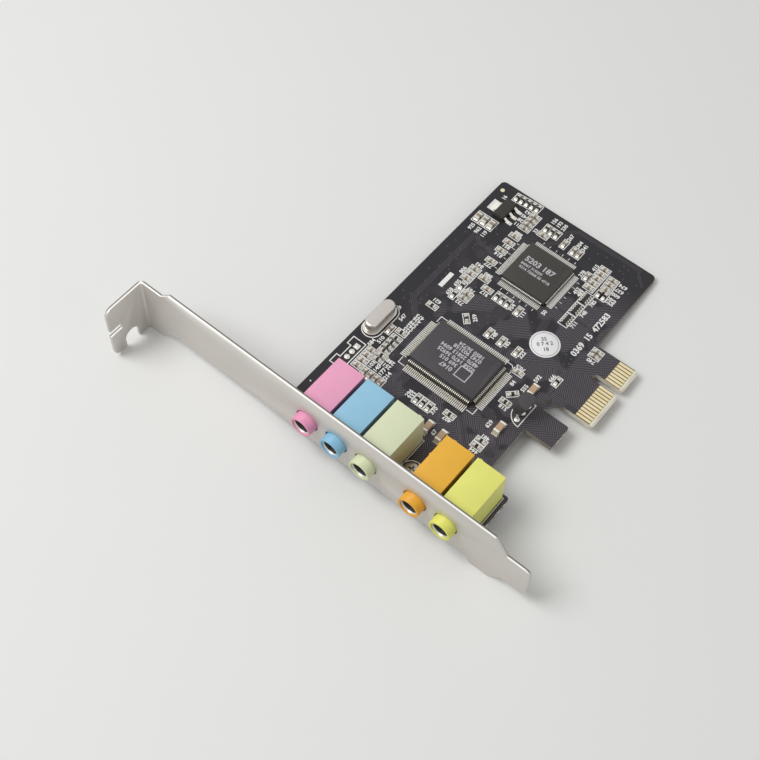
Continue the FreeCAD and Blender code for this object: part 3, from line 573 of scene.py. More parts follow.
def spots(rows):
    """Place and turn of every part in the given rows."""
    found = []
    for x, y, turn, *row in rows:
        step_x, step_y, count = row or (0, 0, 1)
        found += [(x + i * step_x, y + i * step_y, turn) for i in range(count)]
    return found


def linked(name, data):
    """New object in the scene."""
    obj = bpy.data.objects.new(name, data)
    bpy.context.scene.collection.objects.link(obj)
    return obj


def kept(bm, name):
    """Mesh with what was built so far."""
    mesh = bpy.data.meshes.new(name)
    bm.to_mesh(mesh)
    bm.free()
    return mesh


def shaped(name, build):
    """Object whose mesh a function fills in millimetres."""
    bm = bmesh.new()
    build(bm)
    bm.transform(Matrix.Scale(MM, 4))
    return linked(name, kept(bm, name))


def evaluated(obj, name):
    """Plain mesh object made from one with modifiers, which is then removed."""
    graph = bpy.context.evaluated_depsgraph_get()
    mesh = bpy.data.meshes.new_from_object(obj.evaluated_get(graph), depsgraph=graph)
    bpy.data.objects.remove(obj)
    mesh.name = name
    return linked(name, mesh)


def dress(obj, material, slot, *nodes):
    """Give a piece its finish, its body and the nodes that it stands for."""
    if material:
        paint(obj, material)
    for face in obj.data.polygons:
        face.use_smooth = True
    obj.data.set_sharp_from_angle(angle=math.radians(35))
    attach(obj, "root")
    if nodes:
        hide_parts(*nodes)
    return obj


def paint(obj, material):
    """Give an object one finish."""
    obj.data.materials.clear()
    obj.data.materials.append(finish(material))


def softened(name, node, radius, material, slot, segments=2, reshape=None):
    """Piece in a solid's place: its copy in whole faces, with its edges rounded."""
    bm = bmesh.new()
    bm.from_mesh(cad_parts[node].data)
    bmesh.ops.remove_doubles(bm, verts=bm.verts, dist=JOIN)
    if reshape:
        reshape(bm)
    bmesh.ops.dissolve_limit(bm, angle_limit=math.radians(1), verts=bm.verts, edges=bm.edges)
    obj = linked(name, kept(bm, name))
    for face in obj.data.polygons:
        face.use_smooth = True
    bevel = obj.modifiers.new("rounding", "BEVEL")
    bevel.width = radius * MM
    bevel.segments = segments
    bevel.limit_method = "ANGLE"
    bevel.angle_limit = math.radians(32)
    bevel.harden_normals = True
    return dress(evaluated(obj, name), material, slot, node)


def piece(name, build, material, slot):
    """Piece whose mesh a function fills in millimetres."""
    return dress(shaped(name, build), material, slot)


def block(bm, low, high, round_by=0.0):
    """Closed block between two corners, its edges rounded by one cut."""
    made = bmesh.ops.create_cube(bm, size=1)["verts"]
    size = [b - a for a, b in zip(low, high)]
    middle = [(a + b) / 2 for a, b in zip(low, high)]
    bmesh.ops.scale(bm, vec=size, verts=made)
    bmesh.ops.translate(bm, vec=middle, verts=made)
    if round_by:
        edges = list({e for v in made for e in v.link_edges})
        bmesh.ops.bevel(bm, geom=edges, offset=round_by, segments=1, affect="EDGES")


def offsets(path, half, closed=False):
    """The path moved to both sides by half a line's width, mitred at its corners."""
    count = len(path)
    sides = ([], [])
    for i, point in enumerate(path):
        here = Vector(point)
        before = Vector(path[i - 1]) if closed or i else None
        after = Vector(path[(i + 1) % count]) if closed or i < count - 1 else None
        runs = [(here - before).normalized()] if before else []
        runs += [(after - here).normalized()] if after else []
        along = sum(runs, Vector((0, 0))).normalized()
        across = Vector((-along.y, along.x)) * (half / max(0.4, along.dot(runs[0])))
        sides[0].append(here + across)
        sides[1].append(here - across)
    return sides


def skin(bm, rings, loop=False):
    """Faces from ring to ring, with both ends covered or joined to each other."""
    rings = [[bm.verts.new(point) for point in ring] for ring in rings]
    for ring, other in zip(rings, rings[1:] + rings[:1] if loop else rings[1:]):
        for i, corner in enumerate(ring):
            j = (i + 1) % len(ring)
            bm.faces.new((corner, ring[j], other[j], other[i]))
    if not loop:
        bm.faces.new(rings[0][::-1])
        bm.faces.new(rings[-1])
    bmesh.ops.recalc_face_normals(bm, faces=bm.faces)


def line(bm, path, width, base, height, closed=False):
    """Raised line of one width along a path in the board's plane."""
    top = base + height
    skin(bm, [((*a, base), (*b, base), (*b, top), (*a, top))
              for a, b in zip(*offsets(path, width / 2, closed))], closed)


def arc(centre, radius, start, end, count):
    """Points on an arc, with angles in degrees."""
    return [(centre[0] + radius * math.cos(math.radians(start + (end - start) * i / count)),
             centre[1] + radius * math.sin(math.radians(start + (end - start) * i / count)))
            for i in range(count + 1)]


def circle(centre, radius, steps):
    """Points all the way round."""
    return arc(centre, radius, 0, 360, steps)[:-1]


def turned(bm, profile, centre, steps=32):
    """Closed solid of revolution about an upright axis, from radius and height pairs."""
    skin(bm, [[(x, y, z) for x, y in circle(centre, radius, steps)] for radius, z in profile])


# Geometry Nodes

class PartTree(Graph):
    """Geometry tree that places copies of one part."""

    def __init__(self, name, inputs):
        super().__init__(bpy.data.node_groups.new(name, "GeometryNodeTree"))
        sockets = {"Geometry": "Geometry", "Part": "Object", "Finish": "Material", **inputs}
        face = self.tree.interface
        for label, kind in sockets.items():
            face.new_socket(label, in_out="INPUT", socket_type="NodeSocket" + kind)
        face.new_socket("Geometry", in_out="OUTPUT", socket_type="NodeSocketGeometry")
        self.given = {label: self.add("NodeGroupInput", output=label) for label in sockets}
        self.part = self.add("GeometryNodeObjectInfo", None, {"Object": self.given["Part"]},
                             "Geometry")

    def finish(self, geometry):
        """Plain mesh with its material, as the last steps of every tree."""
        real = self.add("GeometryNodeRealizeInstances", None, {"Geometry": geometry})
        done = self.add("GeometryNodeSetMaterial", None,
                        {"Geometry": real, "Material": self.given["Finish"]})
        self.add("NodeGroupOutput", None, {0: done})
        return self.tree


def placed_tree(name):
    """One part at each point, turned by the point's own angle."""
    t = PartTree(name, {})
    angle = t.add("GeometryNodeInputNamedAttribute", {"data_type": "FLOAT"}, {"Name": "turn"},
                  "Attribute")
    return t.finish(t.add("GeometryNodeInstanceOnPoints", None, {
        "Points": t.given["Geometry"], "Instance": t.part,
        "Rotation": t.add("ShaderNodeCombineXYZ", None, {"Z": angle})}))


def package_tree(name):
    """One part in rows along the four sides of a package."""
    t = PartTree(name, {"Width": "Float", "Length": "Float", "Side Count": "Int",
                        "End Count": "Int", "Pitch": "Float", "Centre": "Vector"})
    given = t.given
    step = t.add("ShaderNodeCombineXYZ", None, {"Y": given["Pitch"]})
    sides = []
    for quarter in range(4):
        count = given["End Count" if quarter % 2 else "Side Count"]
        span = given["Length" if quarter % 2 else "Width"]
        start = t.add("ShaderNodeCombineXYZ", None,
                      {"X": span * 0.5, "Y": (count - 1.0) * given["Pitch"] * -0.5})
        row = t.add("GeometryNodeMeshLine", None,
                    {"Count": count, "Start Location": start, "Offset": step})
        copies = t.add("GeometryNodeInstanceOnPoints", None, {"Points": row, "Instance": t.part})
        sides.append(t.add("GeometryNodeTransform", None, {
            "Geometry": copies, "Translation": given["Centre"],
            "Rotation": (0, 0, quarter * math.pi / 2)}))
    return t.finish(t.add("GeometryNodeJoinGeometry", None, {0: sides}))


def grown(name, tree_maker, build, values, base=None):
    """Run a tree on a new object, for the part that a function builds, and keep a plain mesh."""
    part = shaped("part", build)
    title = tree_maker.__name__
    tree = bpy.data.node_groups.get(title) or tree_maker(title)
    host = linked(name + "_host", base or bpy.data.meshes.new(name))
    modifier = host.modifiers.new("parts", "NODES")
    modifier.node_group = tree
    keys = {item.name: item.identifier for item in tree.interface.items_tree
            if item.in_out == "INPUT"}
    for label, value in dict(values, Part=part).items():
        modifier[keys[label]] = value
    host.update_tag()
    made = evaluated(host, name)
    bpy.data.objects.remove(part)
    return made


def scattered(name, build, places, material, slot, *nodes):
    """Piece with one part at each of the given places."""
    points = bpy.data.meshes.new(name + "_points")
    points.from_pydata([(x * MM, y * MM, 0) for x, y, _ in places], [], [])
    turn = points.attributes.new("turn", "FLOAT", "POINT")
    turn.data.foreach_set("value", [math.radians(angle) for _, _, angle in places])
    made = grown(name, placed_tree, build, {"Finish": finish(material)}, points)
    return dress(made, None, slot, *nodes)


def around_package(name, build, rows, material, slot, *nodes):
    """Piece with one part in rows round a package."""
    centre, size, counts, pitch = rows
    made = grown(name, package_tree, build, {
        "Width": size[0] * MM, "Length": size[1] * MM, "Side Count": counts[0],
        "End Count": counts[1], "Pitch": pitch * MM,
        "Centre": (centre[0] * MM, centre[1] * MM, 0), "Finish": finish(material)})
    return dress(made, None, slot, *nodes)


# Board

def tracks(bm, bundles, pitch, base):
    """Parallel tracks that keep their spacing round each corner."""
    width = settings("board").track_width / MM
    for path, count in bundles:
        for i in range(count):
            shift = (i - (count - 1) / 2) * pitch
            side = offsets(path, abs(shift))[0 if shift > 0 else 1] if shift else path
            line(bm, [tuple(p) for p in side], width, base, TRACK_RISE)


def free_spots(count, keep_clear, seed):
    """Seeded places behind the jacks that stay clear of the given boxes and of each other."""
    rng = random.Random(seed)
    margin, clear, apart = 1.5, 0.4, 1.2
    found = []
    while len(found) < count:
        x = rng.uniform(JACK_BACK + 2, BOARD_FAR - margin)
        y = rng.uniform(BOARD_LOW + margin, BOARD_TOP - margin)
        blocked = any(a - clear < x < c + clear and b - clear < y < d + clear
                      for a, b, c, d in keep_clear)
        if not blocked and all(math.hypot(x - u, y - v) > apart for u, v, _ in found):
            found.append((x, y, 0))
    return found


def part_boxes():
    """Boxes round everything that stands on the upper face."""
    chips = spots(RESISTOR_ROWS + CAPACITOR_ROWS + MEDIUM_ROWS + ARRAY_ROWS)
    sizes = [(x, y, 1.2, 1.9) if turn else (x, y, 1.9, 1.2) for x, y, turn in chips]
    sizes += [(x, y, 2.6, 1.3) for x, y, _ in spots(LARGE_ROWS)]
    sizes += [(x, y, 1.2, 1.2) for x, y, _ in spots(NUMBER_ROWS + SHORT_NUMBER_ROWS)]
    packages = ((QFP, QFP_SIZE), (LQFP, LQFP_SIZE))
    sizes += [(x, y, w / 2 + 3.4, h / 2 + 3.4) for (x, y), (w, h) in packages]
    return [(x - w, y - h, x + w, y + h) for x, y, w, h in sizes] + [
        (18, 56.8, 28, 62.4), (29.5, 56.4, 42.3, 62.4), (80.5, 51, 89.5, 61.6),
        (33, 12, 42, 19), (52.5, 18, 62.5, 28), (61, 12.5, 83, 16.5)]


class CARD_OT_board(bpy.types.Operator):
    """Finish the board and its contacts and add tracks, vias and the header's solder"""
    bl_idname = "card.board"
    bl_label = "Board"

    def execute(self, context):
        paint(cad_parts["circuit_board"], "solder_mask")
        paint(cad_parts["edge_contacts"], "flash_gold")
        for side, bundles, pitch, base in (
                ("upper", UPPER_BUNDLES, UPPER_PITCH, 0),
                ("lower", LOWER_BUNDLES, LOWER_PITCH, -BOARD_T - TRACK_RISE)):
            piece(side + "_tracks", lambda bm: tracks(bm, bundles, pitch, base), "covered_track",
                  "board")
        places = free_spots(VIA_COUNT, part_boxes(), VIA_SEED)
        for side, low, high in (("upper", 0, VIA_RISE), ("lower", -BOARD_T - VIA_RISE, -BOARD_T)):
            scattered(side + "_vias",
                      lambda bm: turned(bm, [(0.3, low), (0.3, high)], (0, 0), 14),
                      places, "covered_track", "board")
        piece("header_solder", self.header, "bright_solder", "solder")
        piece("fiducial", lambda bm: turned(bm, [(0.6, 0), (0.6, 0.04)], FIDUCIAL),
              "target_copper", "solder")
        return {"FINISHED"}

    @staticmethod
    def header(bm):
        """Domes of solder in the three holes, on both faces, and one square land."""
        dome = [(0.75, 0), (0.75, 0.04), (0.58, 0.06), (0.5, 0.16), (0.28, 0.24), (0.06, 0.26)]
        for i in range(3):
            x, y = HEADER[0] + i * HEADER_PITCH, HEADER[1]
            for face, way in ((0, 1), (-BOARD_T, -1)):
                turned(bm, [(r, face + way * z) for r, z in dome], (x, y), 24)
        for low in (0, -BOARD_T - 0.05):
            block(bm, (x - 0.75, y - 0.75, low), (x + 0.75, y + 0.75, low + 0.05))


# Print

def chip_frame(length, width):
    """Builder of the printed rectangle round a chip."""
    def build(bm):
        look = settings("board")
        x, y = length / 2, width / 2
        path = [(-x, -y), (x, -y), (x, y), (-x, y)]
        line(bm, path, look.ink_line / MM, 0, look.ink_height / MM, True)
    return build


def print_lines(bm):
    """Outlines of the jacks, packages, crystal, header, transistor and screw."""
    look = settings("board")
    width, height = look.ink_line / MM, look.ink_height / MM

    def stroke(path, closed=False, wide=1.0):
        line(bm, path, width * wide, 0, height, closed)

    side, front, back = JACK_W / 2 + 0.6, 2.4, JACK_BACK + 0.15
    for first, last in (("lime", "orange"), ("green", "pink")):
        low, high = JACK_YS[first] - side, JACK_YS[last] + side
        stroke([(front, low), (back, low), (back, high), (front, high)], wide=0.75)
    stroke(arc(SCREW, 3.0, 0, 352, 44), True)
    x0, x1, y0, y1, arm, slant = 29.15, 46.85, 24.65, 48.0, 2.0, 0.9
    for sx, sy, x, y in ((1, 1, x0, y0), (1, -1, x0, y1), (-1, -1, x1, y1)):
        stroke([(x + sx * arm, y), (x, y), (x, y + sy * arm)])
    stroke([(x1 - arm - slant, y0), (x1 - slant, y0), (x1, y0 + slant), (x1, y0 + slant + arm)])
    reach, tick = 9.3, 0.75
    for i in range(6):
        for out in (-1, 1):
            x, y = LQFP[0] + 2 * i - 5.1, LQFP[1] + out * reach
            stroke([(x, y), (x, y + out * tick)], wide=0.7)
            x, y = LQFP[0] + out * reach, LQFP[1] + 2 * i - 5.4
            stroke([(x, y), (x + out * tick, y)], wide=0.7)
    half, r = 3.3, 2.7
    oval = arc((CRYSTAL[0] + half, CRYSTAL[1] - 0.2), r, -90, 90, 14)
    oval += arc((CRYSTAL[0] - half, CRYSTAL[1] - 0.2), r, 90, 270, 14)
    stroke(oval, True, 1.2)
    stroke([(18.3, 57.3), (27.75, 57.3), (27.75, 61.25), (25.2, 61.25), (25.2, 60.1),
            (21.0, 60.1), (21.0, 61.25), (18.3, 61.25)], True, 1.2)
    flat = TRANSISTOR[1] - 1.35
    stroke(arc((37.35, flat), 3.9, 84, 180, 18) + [(41.1, flat), (41.2, flat + 0.5)], wide=1.1)


def solid_marks(bm):
    """Filled dots and bars of ink."""
    height = settings("board").ink_height / MM
    block(bm, (54.2, 53.57, 0), (59.5, 54.85, height))
    turned(bm, [(0.22, 0), (0.22, height)], (10.8, 61.1), 20)
    turned(bm, [(0.4, 0), (0.4, height)], (47.6, 24.3), 20)


def numbers(name, entries, height, material, slot):
    """Plain printed numbers, as one mesh; entries hold text, size, place, turn and base height."""
    bm = bmesh.new()
    for text, size, x, y, turn, base in entries:
        curve = bpy.data.curves.new(name, "FONT")
        curve.body = text
        curve.size = size
        curve.align_x, curve.align_y = "CENTER", "CENTER"
        curve.resolution_u = 2
        curve.offset = size * 0.03
        curve.extrude = height / 2
        obj = linked(name, curve)
        graph = bpy.context.evaluated_depsgraph_get()
        mesh = bpy.data.meshes.new_from_object(obj.evaluated_get(graph), depsgraph=graph)
        mesh.transform(Matrix.Translation((x * MM, y * MM, base * MM + height / 2))
                       @ Matrix.Rotation(math.radians(turn), 4, "Z"))
        bm.from_mesh(mesh)
        bpy.data.meshes.remove(mesh)
        bpy.data.objects.remove(obj)
        bpy.data.curves.remove(curve)
    bmesh.ops.remove_doubles(bm, verts=bm.verts, dist=JOIN)
    return dress(linked(name, kept(bm, name)), material, slot)


class CARD_OT_print(bpy.types.Operator):
    """Add the printed outlines and plain numbers, and the round paper label"""
    bl_idname = "card.print"
    bl_label = "Print"

    def execute(self, context):
        look = settings("board")
        small = spots(RESISTOR_ROWS + CAPACITOR_ROWS)
        for name, size, places in (("small_chip_frames", (3.1, 1.6), small),
                                   ("medium_chip_frames", (3.9, 2.0), spots(MEDIUM_ROWS)),
                                   ("array_frames", (4.1, 2.7), spots(ARRAY_ROWS))):
            scattered(name, chip_frame(*size), places, "print_ink", "print")
        piece("print_lines", print_lines, "print_ink", "print")
        piece("print_marks", solid_marks, "print_ink", "print")
        size = look.number_height * TEXT_SCALE
        texts = [(str(103 + 37 * i % 880), size, x, y, turn, 0)
                 for i, (x, y, turn) in enumerate(spots(NUMBER_ROWS))]
        texts += [(str(11 + 17 * i % 80), size, x, y, turn, 0)
                  for i, (x, y, turn) in enumerate(spots(SHORT_NUMBER_ROWS))]
        digits, (x, y), tall = LONG_NUMBER
        texts.append((digits, tall * TEXT_SCALE * MM, x, y, 0, 0))
        numbers("print_numbers", texts, look.ink_height, "print_ink", "print")
        piece("round_label", self.label, "label_paper", "label")
        piece("label_ring", self.label_ring, "label_ink", "print")
        texts = [(text, 1.5 * MM, LABEL[0] + x, LABEL[1] + y, -45, LABEL_T - 0.005)
                 for text, x, y in (("35", 1.1, 1.1), ("0 7 4 2", 0.1, 0.1), ("18", -1.1, -1.1))]
        numbers("label_numbers", texts, 0.02 * MM, "label_ink", "print")
        return {"FINISHED"}

    @staticmethod
    def label(bm):
        """Paper disc with slightly pressed edges."""
        turned(bm, [(3.97, 0.02), (4.0, 0.05), (4.0, 0.11), (3.97, LABEL_T)], LABEL, 72)

    @staticmethod
    def label_ring(bm):
        """Printed ring inside the label's edge."""
        line(bm, circle(LABEL, 3.5, 72), 0.12, LABEL_T - 0.005, 0.02, True)


# Packages

def strip(path, width, thick):
    """Builder of a bent strip of metal along a path in the XZ plane."""
    def build(bm):
        half = width / 2
        skin(bm, [((a.x, -half, a.y), (b.x, -half, b.y), (b.x, half, b.y), (a.x, half, a.y))
                  for a, b in zip(*offsets(path, thick / 2))])
    return build


def land(x0, x1, width):
    """Builder of one tinned solder land."""
    def build(bm):
        block(bm, (x0, -width / 2, 0), (x1, width / 2, 0.05), 0.0225)
    return build


def marks_on(name, centre, top, turn, rows):
    """Rows of plain numbers where a package carries its marking."""
    c, s = math.cos(math.radians(turn)), math.sin(math.radians(turn))
    texts = [(text, size * MM, centre[0] + along * c - up * s, centre[1] + along * s + up * c,
              turn, top - 0.004) for up, along, size, text in rows]
    return numbers(name, texts, 0.012 * MM, "package_marking", "print")


class CARD_OT_packages(bpy.types.Operator):
    """Finish the two flat packages with rows of formed leads on tinned lands"""
    bl_idname = "card.packages"
    bl_label = "Packages"

    def execute(self, context):
        look = settings("chips")
        for name, compound, edge in (("controller", "package_compound", 0.06),
                                     ("bridge", "bridge_compound", 0.05)):
            softened(name + "_package", name + "_chip", edge, compound, "chip_black")
        self.leads("controller", (QFP, QFP_SIZE, (look.side_leads, look.end_leads), QFP_PITCH),
                   [(0, 1.6), (0.38, 1.6), (0.5, 1.55), (0.58, 1.43), (0.86, 0.3), (0.94, 0.13),
                    (1.08, 0.08), (1.95, 0.08)], (0.24, 0.15), (0.75, 2.85, 0.31),
                   "formed_lead_tin")
        self.leads("bridge", (LQFP, LQFP_SIZE, LQFP_COUNTS, LQFP_PITCH),
                   [(0, 0.8), (0.16, 0.8), (0.24, 0.75), (0.28, 0.66), (0.38, 0.2), (0.43, 0.09),
                    (0.52, 0.06), (1.0, 0.06)], (0.19, 0.11), (0.35, 2.0, 0.25), "fine_lead_tin")
        marks_on("controller_marks", QFP, 2.95, 90, [
            (3.4, 0.8, 1.8, "0147"), (1.7, 1.3, 1.6, "369 015"),
            (0.15, 0.15, 1.6, "0258 1470 36925"), (-1.4, 0.25, 1.6, "4870 25813 6094"),
            (-2.95, -1.1, 1.6, "0742 903158"), (-4.25, -1.45, 1.6, "1850 36724")])
        marks_on("bridge_marks", LQFP, 1.5, -90, [
            (1.7, -0.6, 2.4, "5203 187"), (-0.2, -1.9, 1.15, "84067 315029"),
            (-1.5, -0.2, 1.15, "9314 72068 05 4718")])
        left, right, low, high = QFP[0] - 4.2, QFP[0] - 0.9, QFP[1] - 5.5, QFP[1] - 2.1
        square = [(left, low), (right, low), (right, high), (left, high)]
        piece("controller_square", lambda bm: line(bm, square, 0.28, 2.944, 0.012, True),
              "package_marking", "print")
        return {"FINISHED"}

    @staticmethod
    def leads(name, rows, path, section, land_size, tin):
        """Set leads that are bent along a path, and their lands, round one package."""
        around_package(name + "_formed_leads", strip(path, *section), rows, tin, "tinned",
                       name + "_leads")
        around_package(name + "_lands", land(*land_size), rows, "bright_solder", "solder")


# Small parts

def chip_body(size):
    """Builder of a chip's ceramic block, which reaches half way into its end caps."""
    def build(bm):
        length, width, height, cap = size
        x = (length - cap) / 2
        block(bm, (-x, -width / 2, 0.02), (x, width / 2, height), 0.04)
    return build


def chip_ends(size):
    """Builder of the two wrapped metal ends of a chip."""
    def build(bm):
        length, width, height, cap = size
        for side in (-1, 1):
            low, high = sorted((side * (length / 2 - cap), side * length / 2))
            block(bm, (low, -width / 2 - 0.02, 0.01), (high, width / 2 + 0.02, height + 0.02), 0.05)
    return build


def chip_solder(size, spread):
    """Builder of the tinned pads and solder slopes at both ends of a chip."""
    def build(bm):
        length, width, height, cap = size
        half = width / 2 + 0.08
        for side in (-1, 1):
            inner, face, outer = length / 2 - cap - 0.1, length / 2, length / 2 + spread
            low, high = sorted((side * inner, side * outer))
            block(bm, (low, -half, 0), (high, half, 0.05))
            slope = [(face - 0.02, 0.04), (outer - 0.08, 0.04),
                     (face + spread * 0.35, height * 0.28), (face - 0.02, height * 0.66)]
            skin(bm, [[(side * x, y, z) for x, z in slope] for y in (0.06 - half, half - 0.06)])
    return build


def array_pairs(half, reach, heights, edge):
    """Builder of the four pairs of blocks at the two long sides of a resistor array."""
    def build(bm):
        for i in range(4):
            x = (i - 1.5) * ARRAY_PITCH
            for side in (-1, 1):
                low, high = sorted(side * y for y in reach)
                block(bm, (x - half, low, heights[0]), (x + half, high, heights[1]), edge)
    return build


class CARD_OT_chips(bpy.types.Operator):
    """Place the small resistors, capacitors and resistor arrays with their solder"""
    bl_idname = "card.chips"
    bl_label = "Small chips"

    def execute(self, context):
        for name, size, rows, material, slot, *nodes in (
                ("resistor", SMALL, RESISTOR_ROWS, "resistor_glass", "resistor", "chip_resistors"),
                ("capacitor", SMALL, CAPACITOR_ROWS, "capacitor_ceramic", "capacitor",
                 "chip_capacitors"),
                ("medium_capacitor", MEDIUM, MEDIUM_ROWS, "capacitor_ceramic", "capacitor"),
                ("large_capacitor", LARGE, LARGE_ROWS, "large_capacitor_ceramic", "capacitor",
                 "large_capacitors")):
            scattered(name + "_bodies", chip_body(size), spots(rows), material, slot, *nodes)
        for name, size, rows, spread, tin, *nodes in (
                ("small", SMALL, RESISTOR_ROWS + CAPACITOR_ROWS, 0.55, "chip_tin"),
                ("medium", MEDIUM, MEDIUM_ROWS, 0.6, "chip_tin"),
                ("large", LARGE, LARGE_ROWS, 0.7, "end_cap_tin", "chip_end_caps")):
            scattered(name + "_chip_ends", chip_ends(size), spots(rows), tin, "tinned", *nodes)
            scattered(name + "_chip_solder", chip_solder(size, spread), spots(rows),
                      "chip_solder", "solder")
        arrays = spots(ARRAY_ROWS)
        scattered("array_bodies", lambda bm: block(bm, (-1.6, -0.7, 0.02), (1.6, 0.7, 0.5), 0.04),
                  arrays, "resistor_glass", "resistor", "resistor_arrays")
        scattered("array_ends", array_pairs(0.22, (0.52, 0.8), (0.01, 0.53), 0.04), arrays,
                  "chip_tin", "tinned", "array_terminals")
        scattered("array_solder", array_pairs(0.25, (0.6, 1.25), (0, 0.06), 0.02), arrays,
                  "chip_solder", "solder")
        return {"FINISHED"}


class CARD_OT_tall_parts(bpy.types.Operator):
    """Finish the crystal, the regulator and the transistor with their solder"""
    bl_idname = "card.tall_parts"
    bl_label = "Crystal, regulator and transistor"

    def execute(self, context):
        softened("crystal_shell", "crystal_can", 0.4, "crystal_nickel", "crystal", 4)
        softened("crystal_rim", "crystal_base", 0.08, "crystal_nickel", "crystal")
        paint(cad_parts["crystal_pins"], "lead_tin")
        softened("regulator_package", "regulator_body", 0.06, "regulator_compound", "chip_black")
        softened("regulator_formed_leads", "regulator_leads", 0.03, "end_cap_tin", "tinned")
        piece("regulator_lands", self.regulator_lands, "bright_solder", "solder")
        softened("transistor_package", "transistor_body", 0.1, "transistor_compound", "chip_black")
        paint(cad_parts["transistor_leads"], "lead_tin")
        piece("pin_joints", self.joints, "bright_solder", "solder")
        return {"FINISHED"}

    @staticmethod
    def regulator_lands(bm):
        """Lands under the three leads and the tab."""
        x, y = REGULATOR
        for i in (-1, 0, 1):
            lead = x + i * REGULATOR_PITCH
            block(bm, (lead - 0.5, y - 4.1, 0), (lead + 0.5, y - 2.3, 0.06), 0.02)
        block(bm, (x - 1.85, y + 2.1, 0), (x + 1.9, y + 4.5, 0.06), 0.02)

    @staticmethod
    def joints(bm):
        """Solder cones round the pins on the under side and the transistor's pads."""
        pins = [(x, y) for x in JACK_PIN_XS for y in JACK_YS.values()]
        leads = [(TRANSISTOR[0] + i * TRANSISTOR_PITCH, TRANSISTOR[1]) for i in (-1, 0, 1)]
        crystal = [(CRYSTAL[0] + side * CRYSTAL_PINS, CRYSTAL[1]) for side in (-1, 1)]
        groups = ((pins, 1.05, 0.62, 1.1), (leads, 0.8, 0.36, 1.0), (crystal, 0.75, 0.34, 0.9))
        for places, pad, tip, rise in groups:
            cone = [(tip, rise), (tip * 1.12, rise * 0.72), (pad * 0.62, rise * 0.34),
                    (pad * 0.86, 0.12), (pad, 0.05), (pad, 0)]
            for place in places:
                turned(bm, [(r, -BOARD_T - z) for r, z in cone], place, 20)
        for place in leads:
            turned(bm, [(0.72, 0), (0.72, 0.04), (0.5, 0.12), (0.32, 0.3), (0.26, 0.34)], place, 20)


# Jacks and bracket

def bore_tube(y, profile):
    """Builder of a ring shaped piece in a nozzle's bore, from radius and depth pairs."""
    def build(bm):
        middle = (y + NOZZLE_SET, NOZZLE_Z)
        skin(bm, [[(NOZZLE_MOUTH + depth, across, up) for across, up in circle(middle, radius, 40)]
                  for radius, depth in profile], True)
    return build


def jack_edges(y):
    """Reshaping of a housing's copy: crisp top edges and a mouth that narrows as a funnel."""
    near, ring_near = 0.02, 0.05

    def reshape(bm):
        top = [v for v in bm.verts if v.co.z > (JACK_H - near) * MM]
        shoulder = [v for v in bm.verts if (JACK_H - 0.6) * MM < v.co.z < (JACK_H - near) * MM]
        for axis in (0, 1):
            low, high = [pick(v.co[axis] for v in top) for pick in (min, max)]
            wide_low, wide_high = [pick(v.co[axis] for v in shoulder) for pick in (min, max)]
            for v in top:
                share = (v.co[axis] - low) / (high - low)
                v.co[axis] = wide_low + share * (wide_high - wide_low)
        middle = Vector((0, y + NOZZLE_SET, NOZZLE_Z)) * MM
        for v in bm.verts:
            depth = v.co.x / MM - NOZZLE_MOUTH
            out = Vector((0, v.co.y, v.co.z)) - middle
            if depth < MOUTH_DEPTH + near and abs(out.length / MM - MOUTH_R) < ring_near:
                v.co.yz = (middle + out * (WIDE_MOUTH_R / MOUTH_R)).yz
            elif abs(depth - MOUTH_DEPTH) < near and abs(out.length / MM - BORE_R) < ring_near:
                v.co.x = (NOZZLE_MOUTH + FUNNEL_DEPTH) * MM
    return reshape


def jack_pips(key, y):
    """Builder of the moulded pips at the back of a housing and the ribs on its side."""
    def build(bm):
        half = JACK_W / 2
        for along in JACK_PIPS[key]:
            block(bm, (JACK_BACK - 0.2, y + along - 0.45, JACK_H - 1.1),
                  (JACK_BACK + 0.3, y + along + 0.45, JACK_H - 0.2), 0.1)
        rib_top = JACK_H - (0.12 if key == "orange" else 0.9)
        for x in (5.4, 9.2, 12.8):
            block(bm, (x - 0.3, y + half - 0.1, 0.6), (x + 0.3, y + half + 0.26, rib_top), 0.08)
    return build


class CARD_OT_jacks(bpy.types.Operator):
    """Finish the five moulded jacks and add their metal sleeves and ribs"""
    bl_idname = "card.jacks"
    bl_label = "Jacks"

    def execute(self, context):
        radius = settings("jacks").moulded_edge / MM
        ring, tube, end = 2.15, BORE_R - 0.1, 15.4
        sleeve = [(ring + 0.12, MOUTH_DEPTH + 0.02), (ring, 0.72), (ring + 0.05, 0.76),
                  (WIDE_MOUTH_R - 0.05, MOUTH_DEPTH + 0.06)]
        # A dark tube of painted shade deeper in each bore, behind the bright sleeve.
        painted_bore_shade = [(ring, 0.73), (tube, 1.6), (tube, end), (BORE_R - 0.01, end),
                  (BORE_R - 0.01, FUNNEL_DEPTH + 0.02), (ring + 0.04, 0.78)]
        for key, y in JACK_YS.items():
            material, slot = "moulded_" + key, "jack_" + key
            softened(key + "_housing", slot, radius, material, slot, 2, jack_edges(y))
            piece(key + "_pips", jack_pips(key, y), material, slot)
            piece(key + "_sleeve", bore_tube(y, sleeve), "contact_nickel", "contact_metal")
            piece(key + "_lining", bore_tube(y, painted_bore_shade), "bore_shade", slot)
        for node in ("sleeve_pins", "ring_pins", "tip_pins"):
            paint(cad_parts[node], "lead_tin")
        return {"FINISHED"}


